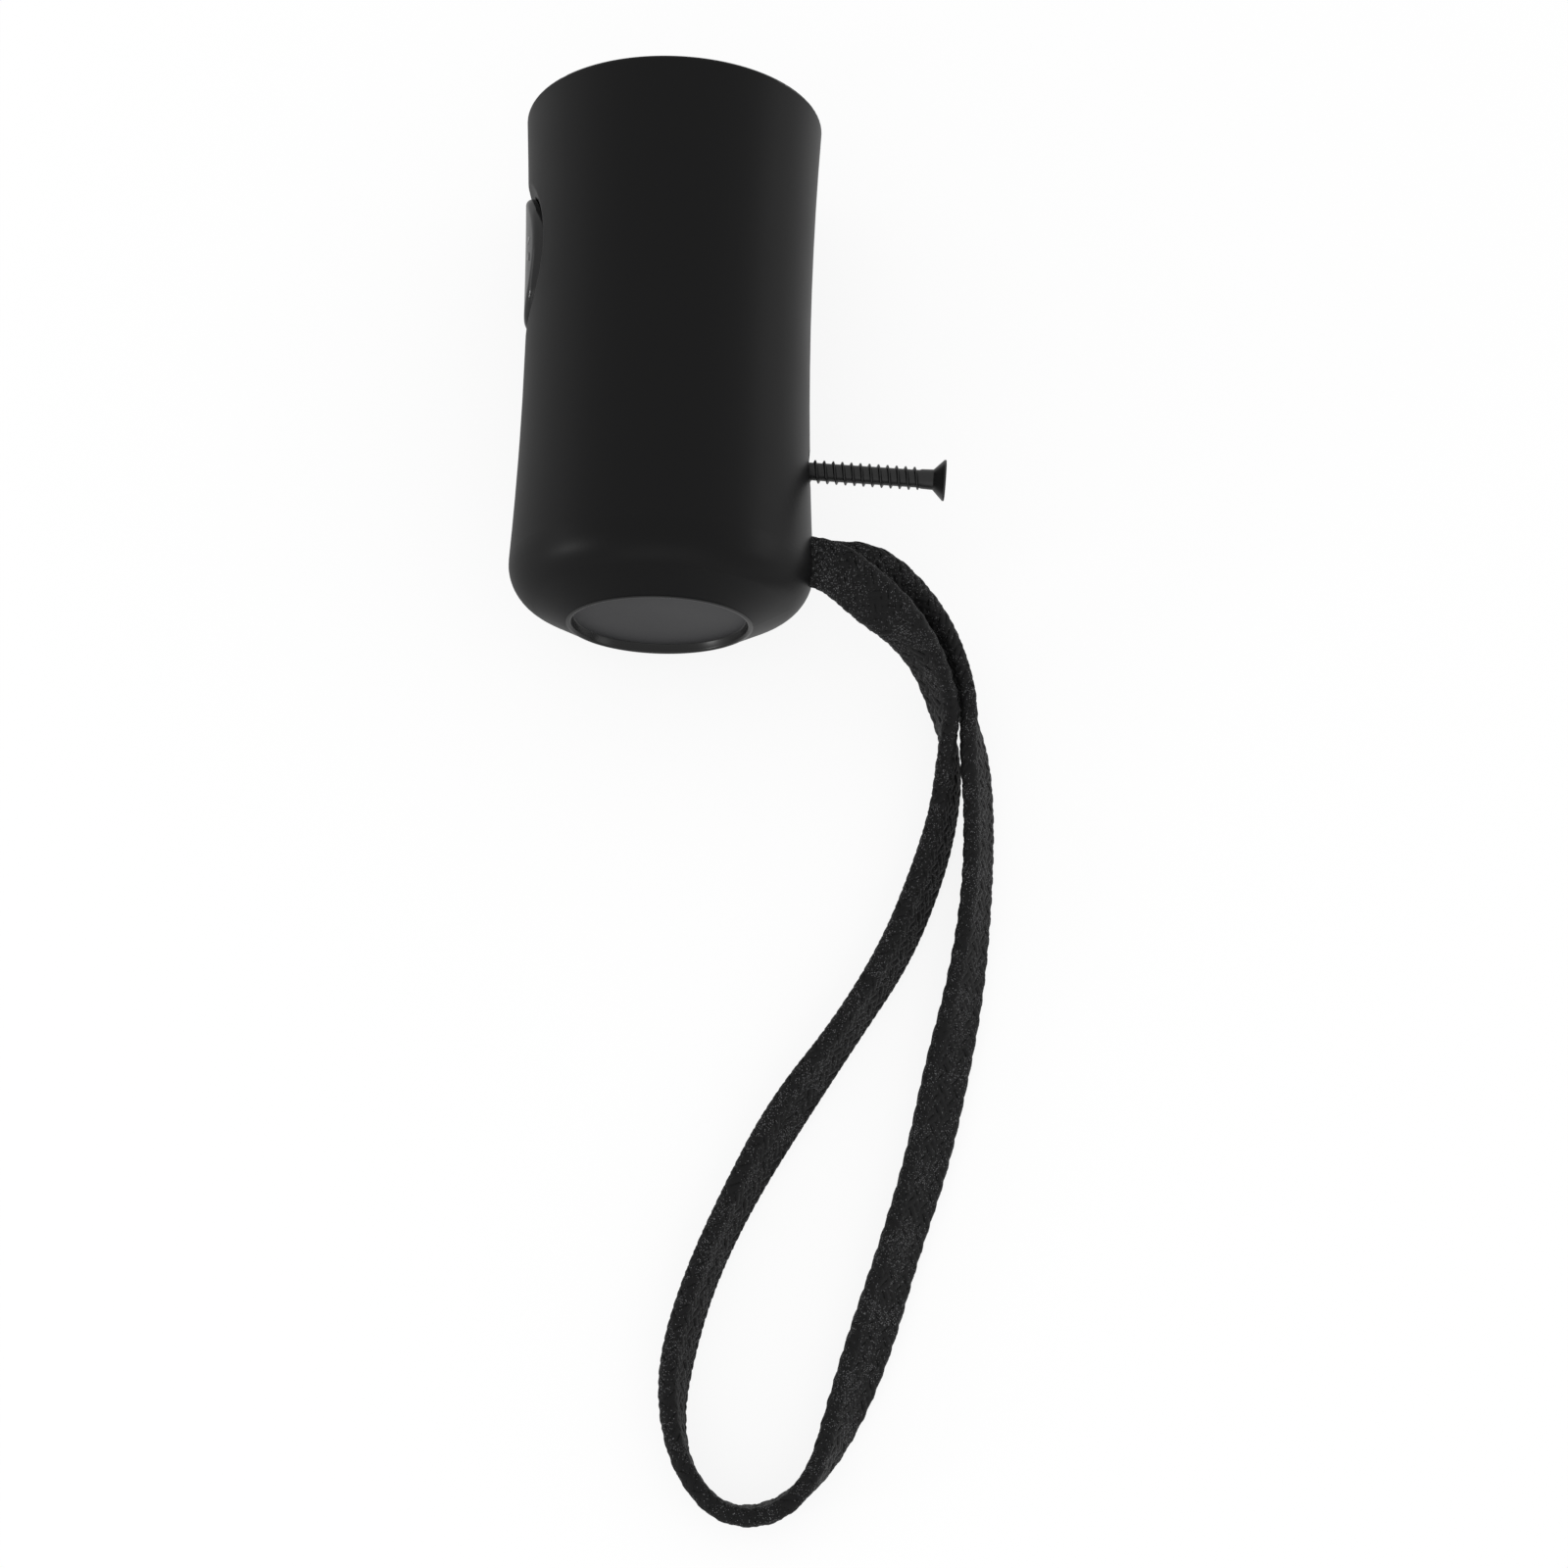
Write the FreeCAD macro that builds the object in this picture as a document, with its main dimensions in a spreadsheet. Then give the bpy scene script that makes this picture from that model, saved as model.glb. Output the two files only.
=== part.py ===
import FreeCAD, Part
import Sketcher
import math
import os

# Replacement grip of a folding automatic umbrella: a hollow black moulding that the umbrella's shaft
# is pushed into and screwed to, with an oval push button in a thumb scoop, a flat braided wrist
# strap and a grey disc that closes the base.
#
# Every piece is drawn with the grip's axis along +Y and the base ring's plane at Y = 0. At the end
# all of them are moved by the same amount, so that the row's origin is the mouth of the socket.
#
# Pieces that seat in each other are a "snug" gap apart, and features that join one solid are "sunk"
# into each other.

Vector = FreeCAD.Vector

SIZES = {
    # outside of the moulding, as radius and distance from the base ring
    "ring_radius": 13.4,
    "bulge_radius": 22.3,
    "bulge_height": 8.9,
    "dome_radius": 18.76,
    "dome_height": 2.73,
    "corner_radius": 6.5,
    "waist_arc": 580.0,
    "rim_radius": 22.45,
    "rim_height": 80.0,
    "rim_round": 0.6,
    "rim_thickness": 1.5,
    "lip_round": 0.4,
    # inside of the moulding
    "cup_radius": 20.6,
    "ledge_height": 68.7,
    "cavity_radius": 19.0,
    "bulkhead_top": 18.0,
    "bulkhead_thickness": 2.2,
    "collar_outer": 10.8,
    "collar_inner": 9.2,
    "collar_height": 2.5,
    "strap_room_radius": 11.9,
    "disc_radius": 13.0,
    "disc_depth": 1.2,
    "disc_thickness": 1.8,
    "disc_edge": 0.4,
    "skirt_height": 2.0,
    "skirt_wall": 1.2,
    "block_top": 29.5,
    "block_width": 7.2,
    "sunk": 0.5,
    "snug": 0.1,
    # socket for the shaft
    "bore_radius": 7.1,
    "barrel_radius": 9.1,
    "mouth_height": 73.0,
    "mouth_chamfer": 0.4,
    "flange_thickness": 1.8,
    "rib_thickness": 1.6,
    "rib_foot": 30.5,
    "rib_start": 8.5,
    # thumb scoop and push button
    "button_height": 56.6,
    "button_half_length": 10.15,
    "button_half_width": 8.85,
    "button_proud": 0.38,
    "button_gap": 0.35,
    "button_round": 1.0,
    "button_wall": 1.5,
    "button_flange": 1.45,
    "flange_inner": 17.25,
    "flange_outer": 18.75,
    "scoop_run": 2.1,
    "scoop_depth": 1.0,
    "scoop_round": 0.8,
    "post_radius": 2.5,
    "post_tip": 7.6,
    "post_play": 0.2,
    "cap_inside": 20.2,
    "seat_radius": 5.2,
    "seat_face": 10.2,
    "spring_radius": 3.75,
    "spring_wire": 0.35,
    "spring_turns": 6.0,
    "spring_foot": 0.05,
    "spring_top": 0.55,
    # screw that fixes the shaft
    "screw_height": 24.45,
    "screw_surface": 21.7,
    "screw_tilt": 3.0,
    "screw_length": 25.0,
    "screw_shown": 19.9,
    "screw_radius": 1.65,
    "screw_point": 0.8,
    "screw_hole": 1.75,
    "head_radius": 3.05,
    "head_rim": 0.3,
    "recess_length": 3.4,
    "recess_width": 0.8,
    "recess_depth": 1.3,
    "counterbore": 3.25,
    "counterbore_depth": 0.6,
    # wrist strap
    "strap_height": 10.1,
    "slot_width": 7.0,
    "slot_rise": 6.4,
    "slot_corner": 1.6,
    "tape_width": 7.8,
    "tape_width_in_slot": 6.6,
    "tape_thickness": 2.6,
    "crimp_wall": 0.6,
    "crimp_across": 8.4,
    "crimp_rise": 7.5,
    "crimp_length": 4.0,
    "crimp_fold": 1.0,
    "crimp_back": 0.8,
}


class Size:
    """A number with the text of the expression that gives it, so that both stay together."""

    def __init__(self, value, text):
        self.value = value
        self.text = text

    def _with(self, other, sign, value):
        return Size(value, "(%s %s %s)" % (self.text, sign, text_of(other)))

    def __add__(self, other):
        return self._with(other, "+", self.value + number(other))

    def __sub__(self, other):
        return self._with(other, "-", self.value - number(other))

    def __mul__(self, other):
        return self._with(other, "*", self.value * number(other))

    def __neg__(self):
        return Size(-self.value, "(0 - %s)" % self.text)


def number(size):
    return size.value if isinstance(size, Size) else float(size)


def text_of(size):
    return size.text if isinstance(size, Size) else repr(float(size))


def make_sheet(doc):
    sheet = doc.addObject("Spreadsheet::Sheet", "sizes")
    for row, (name, value) in enumerate(SIZES.items(), start=1):
        sheet.set("A%d" % row, name)
        sheet.set("B%d" % row, str(value))
        sheet.setAlias("B%d" % row, name)
    doc.recompute()
    return {name: Size(value, "sizes." + name) for name, value in SIZES.items()}


doc = FreeCAD.newDocument("umbrella_grip")
size = make_sheet(doc)


def bind(thing, path, value):
    """Sets a property to a size, and binds it to the sheet where the size comes from there."""
    if isinstance(value, Size):
        thing.setExpression(path, value.text)
    else:
        setattr(thing, path, value)


def place_at(thing, x=0, y=0, z=0, turn=None):
    """Places an object; turn is (axis, degrees)."""
    spin = FreeCAD.Rotation(*turn) if turn else FreeCAD.Rotation()
    thing.Placement = FreeCAD.Placement(Vector(number(x), number(y), number(z)), spin)
    for name, value in (("x", x), ("y", y), ("z", z)):
        if isinstance(value, Size):
            thing.setExpression("Placement.Base." + name, value.text)
    return thing


# ---------------------------------------------------------------- sketches and simple solids


def constraint(*words):
    return Sketcher.Constraint(*words)


def origin_item(body, role):
    return next(item for item in body.Origin.OriginFeatures if item.Role == role)


def new_sketch(body, name, plane="XY_Plane"):
    sketch = body.newObject("Sketcher::SketchObject", name)
    sketch.AttachmentSupport = [(origin_item(body, plane), "")]
    sketch.MapMode = "FlatFace"
    return sketch


def hold(sketch, words, value):
    """Adds a constraint with a value, bound to the sheet where the value is a size."""
    index = sketch.addConstraint(constraint(*words, number(value)))
    if isinstance(value, Size):
        sketch.setExpression("Constraints[%d]" % index, value.text)


def pin_point(sketch, geometry, end, x, y):
    """Holds an end of a line or arc at x, y. A zero puts it on the axis."""
    for axis, kind, value in ((-2, "DistanceX", x), (-1, "DistanceY", y)):
        if number(value) == 0:
            sketch.addConstraint(constraint("PointOnObject", geometry, end, axis))
        else:
            hold(sketch, (kind, -1, 1, geometry, end), value)


def arc_over(start, end, radius, side):
    """An arc that bulges to the "left" or "right" of the way from start to end, and its two ends."""
    chord = end - start
    left = Vector(-chord.y, chord.x, 0).normalize()
    away = math.sqrt(radius**2 - (chord.Length / 2) ** 2)
    centre = (start + end) / 2 - left * (away if side == "left" else -away)
    angles = [math.atan2(p.y - centre.y, p.x - centre.x) for p in (start, end)]
    circle = Part.Circle(centre, Vector(0, 0, 1), radius)
    if side == "right":
        return Part.ArcOfCircle(circle, angles[0], angles[1]), (1, 2)
    return Part.ArcOfCircle(circle, angles[1], angles[0]), (2, 1)


def draw_outline(sketch, corners):
    """A closed outline. A corner is (x, y), or (x, y, radius, side) where an arc leads on from it."""
    points = [Vector(number(corner[0]), number(corner[1]), 0) for corner in corners]
    following = points[1:] + points[:1]
    ends = []
    for corner, start, end in zip(corners, points, following):
        if len(corner) == 2:
            curve, order = Part.LineSegment(start, end), (1, 2)
        else:
            curve, order = arc_over(start, end, number(corner[2]), corner[3])
        sketch.addGeometry(curve, False)
        ends.append(order)
    for i, corner in enumerate(corners):
        after = (i + 1) % len(corners)
        sketch.addConstraint(constraint("Coincident", i, ends[i][1], after, ends[after][0]))
        pin_point(sketch, i, ends[i][0], corner[0], corner[1])
        if len(corner) > 2:
            hold(sketch, ("Radius", i), corner[2])


def revolved_body(name, corners):
    """A body turned about the grip's axis from an outline of (radius, height) corners."""
    body = doc.addObject("PartDesign::Body", name)
    sketch = new_sketch(body, name + "_outline")
    draw_outline(sketch, corners)
    turn = body.newObject("PartDesign::Revolution", name + "_turned")
    turn.Profile = sketch
    turn.ReferenceAxis = (sketch, ["V_Axis"])
    turn.Angle = 360
    doc.recompute()
    return body


def boolean(kind, name, first, others):
    """A Part::Cut, Part::MultiFuse or Part::MultiCommon of objects."""
    if kind == "Part::Cut":
        tool = others[0]
        if len(others) > 1:
            tool = boolean("Part::MultiFuse", name + "_tools", others[0], others[1:])
        result = doc.addObject("Part::Cut", name)
        result.Base, result.Tool = first, tool
    else:
        result = doc.addObject(kind, name)
        result.Shapes = [first] + list(others)
    doc.recompute()
    return result


def cylinder(name, radius, length, start, direction):
    """A cylinder from a point, along a direction."""
    solid = doc.addObject("Part::Cylinder", name)
    bind(solid, "Radius", radius)
    bind(solid, "Height", length)
    spin = FreeCAD.Rotation(Vector(0, 0, 1), direction)
    solid.Placement = FreeCAD.Placement(start, spin)
    return solid


def cone(name, radius, far_radius, length, start, direction):
    solid = doc.addObject("Part::Cone", name)
    bind(solid, "Radius1", radius)
    bind(solid, "Radius2", far_radius)
    bind(solid, "Height", length)
    spin = FreeCAD.Rotation(Vector(0, 0, 1), direction)
    solid.Placement = FreeCAD.Placement(start, spin)
    return solid


def box(name, length, width, height, x, y, z):
    """A box with its low corner at x, y, z."""
    solid = doc.addObject("Part::Box", name)
    bind(solid, "Length", length)
    bind(solid, "Width", width)
    bind(solid, "Height", height)
    return place_at(solid, x, y, z)


def oval_prism(name, half_length, half_width, start):
    """An oval at the button's height, long side along the grip, extruded outwards from x = start."""
    oval = doc.addObject("Part::Ellipse", name + "_oval")
    bind(oval, "MajorRadius", half_length)
    bind(oval, "MinorRadius", half_width)
    place_at(oval, start, size["button_height"], 0, (Vector(1, 1, 1), 120))
    prism = doc.addObject("Part::Extrusion", name)
    prism.Base = oval
    prism.DirMode = "Custom"
    prism.Dir = Vector(-1, 0, 0)
    prism.LengthFwd = 16
    prism.Solid = True
    return prism


def edges_where(shape, test):
    """The numbers of the edges whose sampled points all pass a test."""
    found = []
    for index, edge in enumerate(shape.Edges, start=1):
        if all(test(point) for point in edge.discretize(7)):
            found.append(index)
    return found


def softened(kind, name, base, edges, first, second=None):
    """A Part::Fillet or Part::Chamfer of some edges of an object."""
    if not edges:
        raise ValueError(name + " found no edge")
    result = doc.addObject(kind, name)
    result.Base = base
    second = first if second is None else second
    result.Edges = [(index, number(first), number(second)) for index in edges]
    doc.recompute()
    return result


def waist_radius(height, proud=0.0):
    """Radius of the moulding's waisted side at a height, or of a surface that stands proud of it."""
    start = Vector(number(size["bulge_radius"]), number(size["bulge_height"]), 0)
    end = Vector(number(size["rim_radius"]), number(size["rim_height"] - size["rim_round"]), 0)
    radius = number(size["waist_arc"])
    chord = end - start
    away = math.sqrt(radius**2 - (chord.Length / 2) ** 2)
    centre = (start + end) / 2 + Vector(chord.y, -chord.x, 0).normalize() * away
    return centre.x - math.sqrt((radius - proud) ** 2 - (height - centre.y) ** 2)


NEAR = 0.01  # how far off a surface a point of an edge may be and still count as on it
BEYOND = 5.0  # how far a cutting solid runs past the surface that it opens
SCREW_REACH = 16.0  # how far the screw's hole runs in from the side
STEPS_A_TURN = 24  # sections of the spring's wire in one turn
SCREW_WAY = Vector(
    math.cos(math.radians(number(size["screw_tilt"]))),
    -math.sin(math.radians(number(size["screw_tilt"]))),
    0,
)


TO_BUTTON = Vector(-1, 0, 0)


def at_button(x):
    """A point of the button's axis."""
    return Vector(number(x), number(size["button_height"]), 0)


def on_screw(distance):
    """A point of the screw's axis; 0 is where it comes out of the moulding, + is outside."""
    surface = Vector(number(size["screw_surface"]), number(size["screw_height"]), 0)
    return surface + SCREW_WAY * distance


# ---------------------------------------------------------------- the pieces


def shell_outline():
    """The moulding's section as (radius, height) corners, from the base ring up and back down inside."""
    rim_top, wall_top = size["rim_height"], size["rim_height"] - size["rim_round"]
    floor = size["bulkhead_top"]
    room_top = floor - size["bulkhead_thickness"]
    disc_seat = size["disc_depth"] + size["disc_thickness"]
    lip = size["lip_round"]
    cup_edge = size["rim_radius"] - size["rim_thickness"]
    return [
        (size["disc_radius"], 0),
        (size["ring_radius"], 0),
        (size["dome_radius"], size["dome_height"], size["corner_radius"], "right"),
        (size["bulge_radius"], size["bulge_height"], size["waist_arc"], "left"),
        (size["rim_radius"], wall_top, size["rim_round"], "right"),
        (size["rim_radius"] - size["rim_round"], rim_top),
        (cup_edge + lip, rim_top, lip, "right"),
        (cup_edge, rim_top - lip),
        (size["cup_radius"], size["ledge_height"]),
        (size["cavity_radius"], size["ledge_height"]),
        (size["cavity_radius"], floor),
        (size["collar_outer"], floor),
        (size["collar_outer"], floor + size["collar_height"]),
        (size["collar_inner"], floor + size["collar_height"]),
        (size["collar_inner"], floor),
        (0, floor),
        (0, room_top),
        (size["strap_room_radius"], room_top),
        (size["strap_room_radius"], disc_seat),
        (size["disc_radius"], disc_seat),
    ]


def grip_shell():
    """The outer moulding: waisted wall, cup, ledge, bulkhead, base dome and the openings in its sides."""
    shell = revolved_body("shell_turned", shell_outline())
    block = new_sketch(shell, "screw_block_outline")
    inner, outer = size["collar_inner"], size["cavity_radius"] + size["sunk"]
    low, high = size["bulkhead_top"] - size["sunk"], size["block_top"]
    draw_outline(block, [(inner, low), (outer, low), (outer, high), (inner, high)])
    pad = shell.newObject("PartDesign::Pad", "screw_block")
    pad.Profile = block
    bind(pad, "Length", size["block_width"])
    pad.Midplane = True
    doc.recompute()

    window_length = size["button_half_length"] + size["button_gap"]
    window_width = size["button_half_width"] + size["button_gap"]
    bottom = on_screw(-number(size["counterbore_depth"]))
    wide, narrow = size["counterbore"], size["screw_hole"]
    tools = [
        oval_prism("window", window_length, window_width, -size["collar_outer"]),
        cylinder("screw_bore", narrow, SCREW_REACH + BEYOND, on_screw(-SCREW_REACH), SCREW_WAY),
        cylinder("counterbore_cut", wide, BEYOND, bottom, SCREW_WAY),
        cone("countersink", wide, narrow, wide - narrow, bottom, -SCREW_WAY),
        strap_slot(),
    ]
    cut = boolean("Part::Cut", "shell_cut", shell, tools)

    def on_window_edge(point):
        outside = math.hypot(point.x, point.z) > waist_radius(point.y) - NEAR
        along = abs(point.y - number(size["button_height"]))
        return outside and point.x < 0 and along < number(window_length) + NEAR

    window = edges_where(cut.Shape, on_window_edge)
    scoop = size["scoop_run"]
    scooped = softened("Part::Chamfer", "shell_scooped", cut, window, scoop, size["scoop_depth"])

    def on_scoop_rim(point):
        outside = math.hypot(point.x, point.z) > waist_radius(point.y) - NEAR
        along = abs(point.y - number(size["button_height"]))
        return outside and point.x < 0 and along < number(window_length + scoop * 2)

    rim = edges_where(scooped.Shape, on_scoop_rim)
    return softened("Part::Fillet", "grip_shell", scooped, rim, size["scoop_round"])


def strap_slot():
    """The round-cornered way out for both runs of the strap, through the thick foot of the side."""
    width, rise = size["slot_width"], size["slot_rise"]
    start = size["strap_room_radius"] - BEYOND
    length = size["bulge_radius"] - start + BEYOND
    low = size["strap_height"] - width * 0.5
    slot = box("strap_way", length, width, rise, start, low, -(rise * 0.5))
    doc.recompute()
    lengthwise = [
        index
        for index, edge in enumerate(slot.Shape.Edges, start=1)
        if abs(edge.tangentAt(edge.FirstParameter).x) > 0.9
    ]
    return softened("Part::Fillet", "strap_slot", slot, lengthwise, size["slot_corner"])


def socket_core():
    """The inner moulding: tube for the shaft, cup floor, ribs and the seat of the button's spring."""
    ledge = size["ledge_height"]
    floor_top = ledge + size["flange_thickness"]
    barrel, bore, mouth = size["barrel_radius"], size["bore_radius"], size["mouth_height"]
    foot, chamfer = size["bulkhead_top"] + size["snug"], size["mouth_chamfer"]
    flange = size["cup_radius"] - size["snug"]
    tube = revolved_body(
        "core_turned",
        [
            (bore, foot),
            (barrel, foot),
            (barrel, ledge),
            (flange, ledge),
            (flange, floor_top),
            (barrel + chamfer, floor_top),
            (barrel + chamfer, mouth - chamfer),
            (barrel, mouth),
            (bore, mouth),
        ],
    )
    pieces = [support_rib(degrees, ledge) for degrees in (0, 60, 120, 240, 300)]
    start = at_button(-bore - size["post_play"])
    length = size["seat_face"] - bore - size["post_play"]
    pieces.append(cylinder("spring_seat", size["seat_radius"], length, start, TO_BUTTON))
    whole = boolean("Part::MultiFuse", "core_fused", tube, pieces)
    hole = size["post_radius"] + size["post_play"]
    tools = [
        cylinder("post_hole", hole, BEYOND * 2, at_button(-bore + BEYOND / 2), TO_BUTTON),
        cylinder("pilot_hole", size["screw_hole"], BEYOND, on_screw(-SCREW_REACH), SCREW_WAY),
    ]
    return boolean("Part::Cut", "socket_core", whole, tools)


def support_rib(degrees, top):
    """One of the thin walls that stand out from the tube and hold it in the middle of the moulding."""
    start, thickness = size["rib_start"], size["rib_thickness"]
    length = size["cavity_radius"] - size["snug"] * 2 - start
    rise = top + size["sunk"] - size["rib_foot"]
    rib = box("rib_at_%d" % degrees, length, rise, thickness, 0, 0, 0)
    corner = Vector(number(start), number(size["rib_foot"]), -number(thickness) / 2)
    spin = FreeCAD.Rotation(Vector(0, 1, 0), degrees)
    rib.Placement = FreeCAD.Placement(spin.multVec(corner), spin)
    return rib


def button_layer(name, inner, half_length, half_width, outer=None):
    """An oval piece of a tube round the grip's axis. With no outer radius it is proud of the waist."""
    low = size["button_height"] - half_length - size["button_wall"]
    high = size["button_height"] + half_length + size["button_wall"]
    if outer is None:
        proud = number(size["button_proud"])
        side = [
            (waist_radius(number(low), proud), low, size["waist_arc"] - size["button_proud"], "left"),
            (waist_radius(number(high), proud), high),
        ]
    else:
        side = [(outer, low), (outer, high)]
    ring = revolved_body(name + "_ring", [(inner, low)] + side + [(inner, high)])
    prism = oval_prism(name + "_outline", half_length, half_width, -size["seat_face"])
    return boolean("Part::MultiCommon", name, ring, [prism])


def push_button():
    """The oval button: crowned cap that follows the waist, skirt, stop flange and centre post."""
    half_length, half_width = size["button_half_length"], size["button_half_width"]
    wall, stop = size["button_wall"], size["button_flange"]
    inner, roof = size["flange_inner"], size["cap_inside"]
    proud = number(size["button_proud"])

    def on_face_edge(point):
        return math.hypot(point.x, point.z) > waist_radius(point.y, proud) - NEAR

    cap = button_layer("cap_block", inner, half_length, half_width)
    outer_edge = edges_where(cap.Shape, on_face_edge)
    cap = softened("Part::Fillet", "cap_rounded", cap, outer_edge, size["button_round"])
    flange = button_layer("flange", inner, half_length + stop, half_width + stop, size["flange_outer"])
    solid = boolean("Part::MultiFuse", "button_solid", cap, [flange])
    hollow = button_layer("hollow", inner - wall, half_length - wall, half_width - wall, roof)
    shell = boolean("Part::Cut", "button_hollow", solid, [hollow])
    post_length = roof - size["post_tip"] + size["sunk"]
    post = cylinder("post", size["post_radius"], post_length, at_button(-size["post_tip"]), TO_BUTTON)
    return boolean("Part::MultiFuse", "push_button", shell, [post])


def wire_section(place, out, way, radius):
    """An eight-sided section of a wire, square to the way it runs."""
    side = way.cross(out)
    corners = []
    for degrees in range(0, 360, 45):
        turn = math.radians(degrees)
        corners.append(place + out * (radius * math.cos(turn)) + side * (radius * math.sin(turn)))
    return Part.makePolygon(corners + corners[:1])


def button_spring():
    """The compression spring round the button's post, from its seat on the core to the cap."""
    wire, coil = number(size["spring_wire"]), number(size["spring_radius"])
    start = number(size["seat_face"] + size["spring_wire"] + size["spring_foot"])
    length = number(size["cap_inside"] - size["spring_top"]) - wire - start
    steps = number(size["spring_turns"]) * STEPS_A_TURN
    sections = []
    for step in range(int(steps) + 1):
        turn = 2 * math.pi * step / STEPS_A_TURN
        out = Vector(0, math.cos(turn), math.sin(turn))
        around = Vector(0, -math.sin(turn), math.cos(turn))
        climb = TO_BUTTON * (length * step / steps)
        way = (around * coil + TO_BUTTON * (length * STEPS_A_TURN / steps / (2 * math.pi))).normalize()
        sections.append(wire_section(at_button(-start) + climb + out * coil, out, way, wire))
    spring = doc.addObject("Part::Feature", "button_spring")
    spring.Shape = Part.makeLoft(sections, True, True)
    return spring


def shaft_screw():
    """The countersunk screw, drawn along +Y with 0 where its hole opens, then laid along its hole."""
    top, radius = size["screw_shown"], size["screw_radius"]
    tip = top - size["screw_length"]
    head = size["head_radius"]
    neck = top - size["head_rim"] - head + radius
    screw = revolved_body(
        "screw_turned",
        [
            (0, tip),
            (radius - size["sunk"], tip),
            (radius, tip + size["screw_point"]),
            (radius, neck),
            (head, top - size["head_rim"]),
            (head, top),
            (0, top),
        ],
    )
    long, thin, deep = size["recess_length"], size["recess_width"], size["recess_depth"]
    floor = top - deep
    bars = [
        box("recess_x", long, BEYOND, thin, -(long * 0.5), floor, -(thin * 0.5)),
        box("recess_z", thin, BEYOND, long, -(thin * 0.5), floor, -(long * 0.5)),
    ]
    result = boolean("Part::Cut", "shaft_screw", screw, bars)
    result.Placement = FreeCAD.Placement(on_screw(0), FreeCAD.Rotation(Vector(0, 1, 0), SCREW_WAY))
    return result


def end_cap():
    """The grey disc that closes the base, with the skirt that snaps into the strap's room."""
    rim, low = size["disc_radius"] - size["snug"], size["disc_depth"]
    high = low + size["disc_thickness"]
    skirt, edge = size["strap_room_radius"] - size["snug"], size["disc_edge"]
    skirt_top = high + size["skirt_height"]
    skirt_inside = skirt - size["skirt_wall"]
    return revolved_body(
        "end_cap",
        [
            (0, low),
            (rim - edge, low, edge, "right"),
            (rim, low + edge),
            (rim, high),
            (skirt, high),
            (skirt, skirt_top),
            (skirt_inside, skirt_top),
            (skirt_inside, high),
            (0, high),
        ],
    )


def strap_crimp():
    """The folded metal band that holds both ends of the strap, wider than the slot they come out of."""
    wall, across, rise = size["crimp_wall"], size["crimp_across"], size["crimp_rise"]
    length = size["crimp_length"]
    start = size["strap_room_radius"] - size["crimp_back"] - length
    middle = size["strap_height"]
    outer = box("crimp_block", length, across, rise, start, middle - across * 0.5, -(rise * 0.5))
    doc.recompute()
    folds = [
        index
        for index, edge in enumerate(outer.Shape.Edges, start=1)
        if abs(edge.tangentAt(edge.FirstParameter).x) > 0.9
    ]
    rounded = softened("Part::Fillet", "crimp_rounded", outer, folds, size["crimp_fold"])
    inside_across, inside_rise = across - wall * 2, rise - wall * 2
    low, side = middle - inside_across * 0.5, -(inside_rise * 0.5)
    inside = box("crimp_inside", length * 2, inside_across, inside_rise, start - wall, low, side)
    return boolean("Part::Cut", "strap_crimp", rounded, [inside])


# ---------------------------------------------------------------- wrist strap

# Where the strap runs, from one end in the crimp round to the other: x, distance from the base ring,
# z (None where it stands on its edge on the ground) and how far the flat tape leans from upright
# towards the left of the way it goes.
STRAP = [
    (7.0, 10.1, 1.5, 90),
    (15.0, 10.3, 1.6, 90),
    (24.5, 10.1, 1.6, 88),
    (30.6, 6.9, -0.9, 78),
    (35.7, 3.3, -6.2, 58),
    (39.6, -1.2, -12.2, 34),
    (42.2, -6.8, -16.6, 8),
    (43.2, -14.0, -18.3, -10),
    (42.5, -22.5, None, -20),
    (40.1, -32.0, None, -28),
    (35.6, -44.0, None, -31),
    (28.2, -56.0, None, -30),
    (19.6, -68.3, None, -45),
    (12.8, -80.6, None, -32),
    (7.4, -92.6, None, -30),
    (4.3, -103.6, None, -29),
    (3.9, -112.0, None, -18),
    (5.9, -119.8, None, -4),
    (11.4, -125.4, None, -4),
    (19.2, -125.6, None, -6),
    (24.9, -119.8, None, 12),
    (28.6, -111.6, None, 44),
    (32.2, -101.0, None, 52),
    (36.3, -88.3, None, 44),
    (40.3, -75.2, None, 50),
    (43.2, -62.0, None, 56),
    (46.1, -48.6, None, 36),
    (47.7, -35.0, None, 22),
    (48.0, -22.5, None, 18),
    (47.1, -13.5, -18.2, 6),
    (45.8, -5.4, -17.3, -10),
    (42.8, 1.8, -14.4, -34),
    (38.1, 6.6, -9.0, -58),
    (31.5, 9.7, -3.9, -78),
    (24.6, 10.2, -1.9, -88),
    (15.0, 9.9, -1.6, -90),
    (7.0, 10.1, -1.5, -90),
]
FREE_FROM, FREE_TO = 3, -4  # the tape has its full width between these points


def strap_points():
    """The route as (place, lean, width), with the grounded points set at the height their lean gives."""
    full, narrow = number(size["tape_width"]), number(size["tape_width_in_slot"])
    thick = number(size["tape_thickness"])
    ground = -number(size["rim_radius"]) + 0.05
    points = []
    for index, (x, height, z, lean) in enumerate(STRAP):
        free = FREE_FROM <= index <= len(STRAP) + FREE_TO
        if z is None:
            z = ground + (full - thick) / 2 * abs(math.cos(math.radians(lean))) + thick / 2
        points.append((Vector(x, height, z), lean, full if free else narrow))
    return points


def between(first, second, share):
    return first + (second - first) * share


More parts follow.
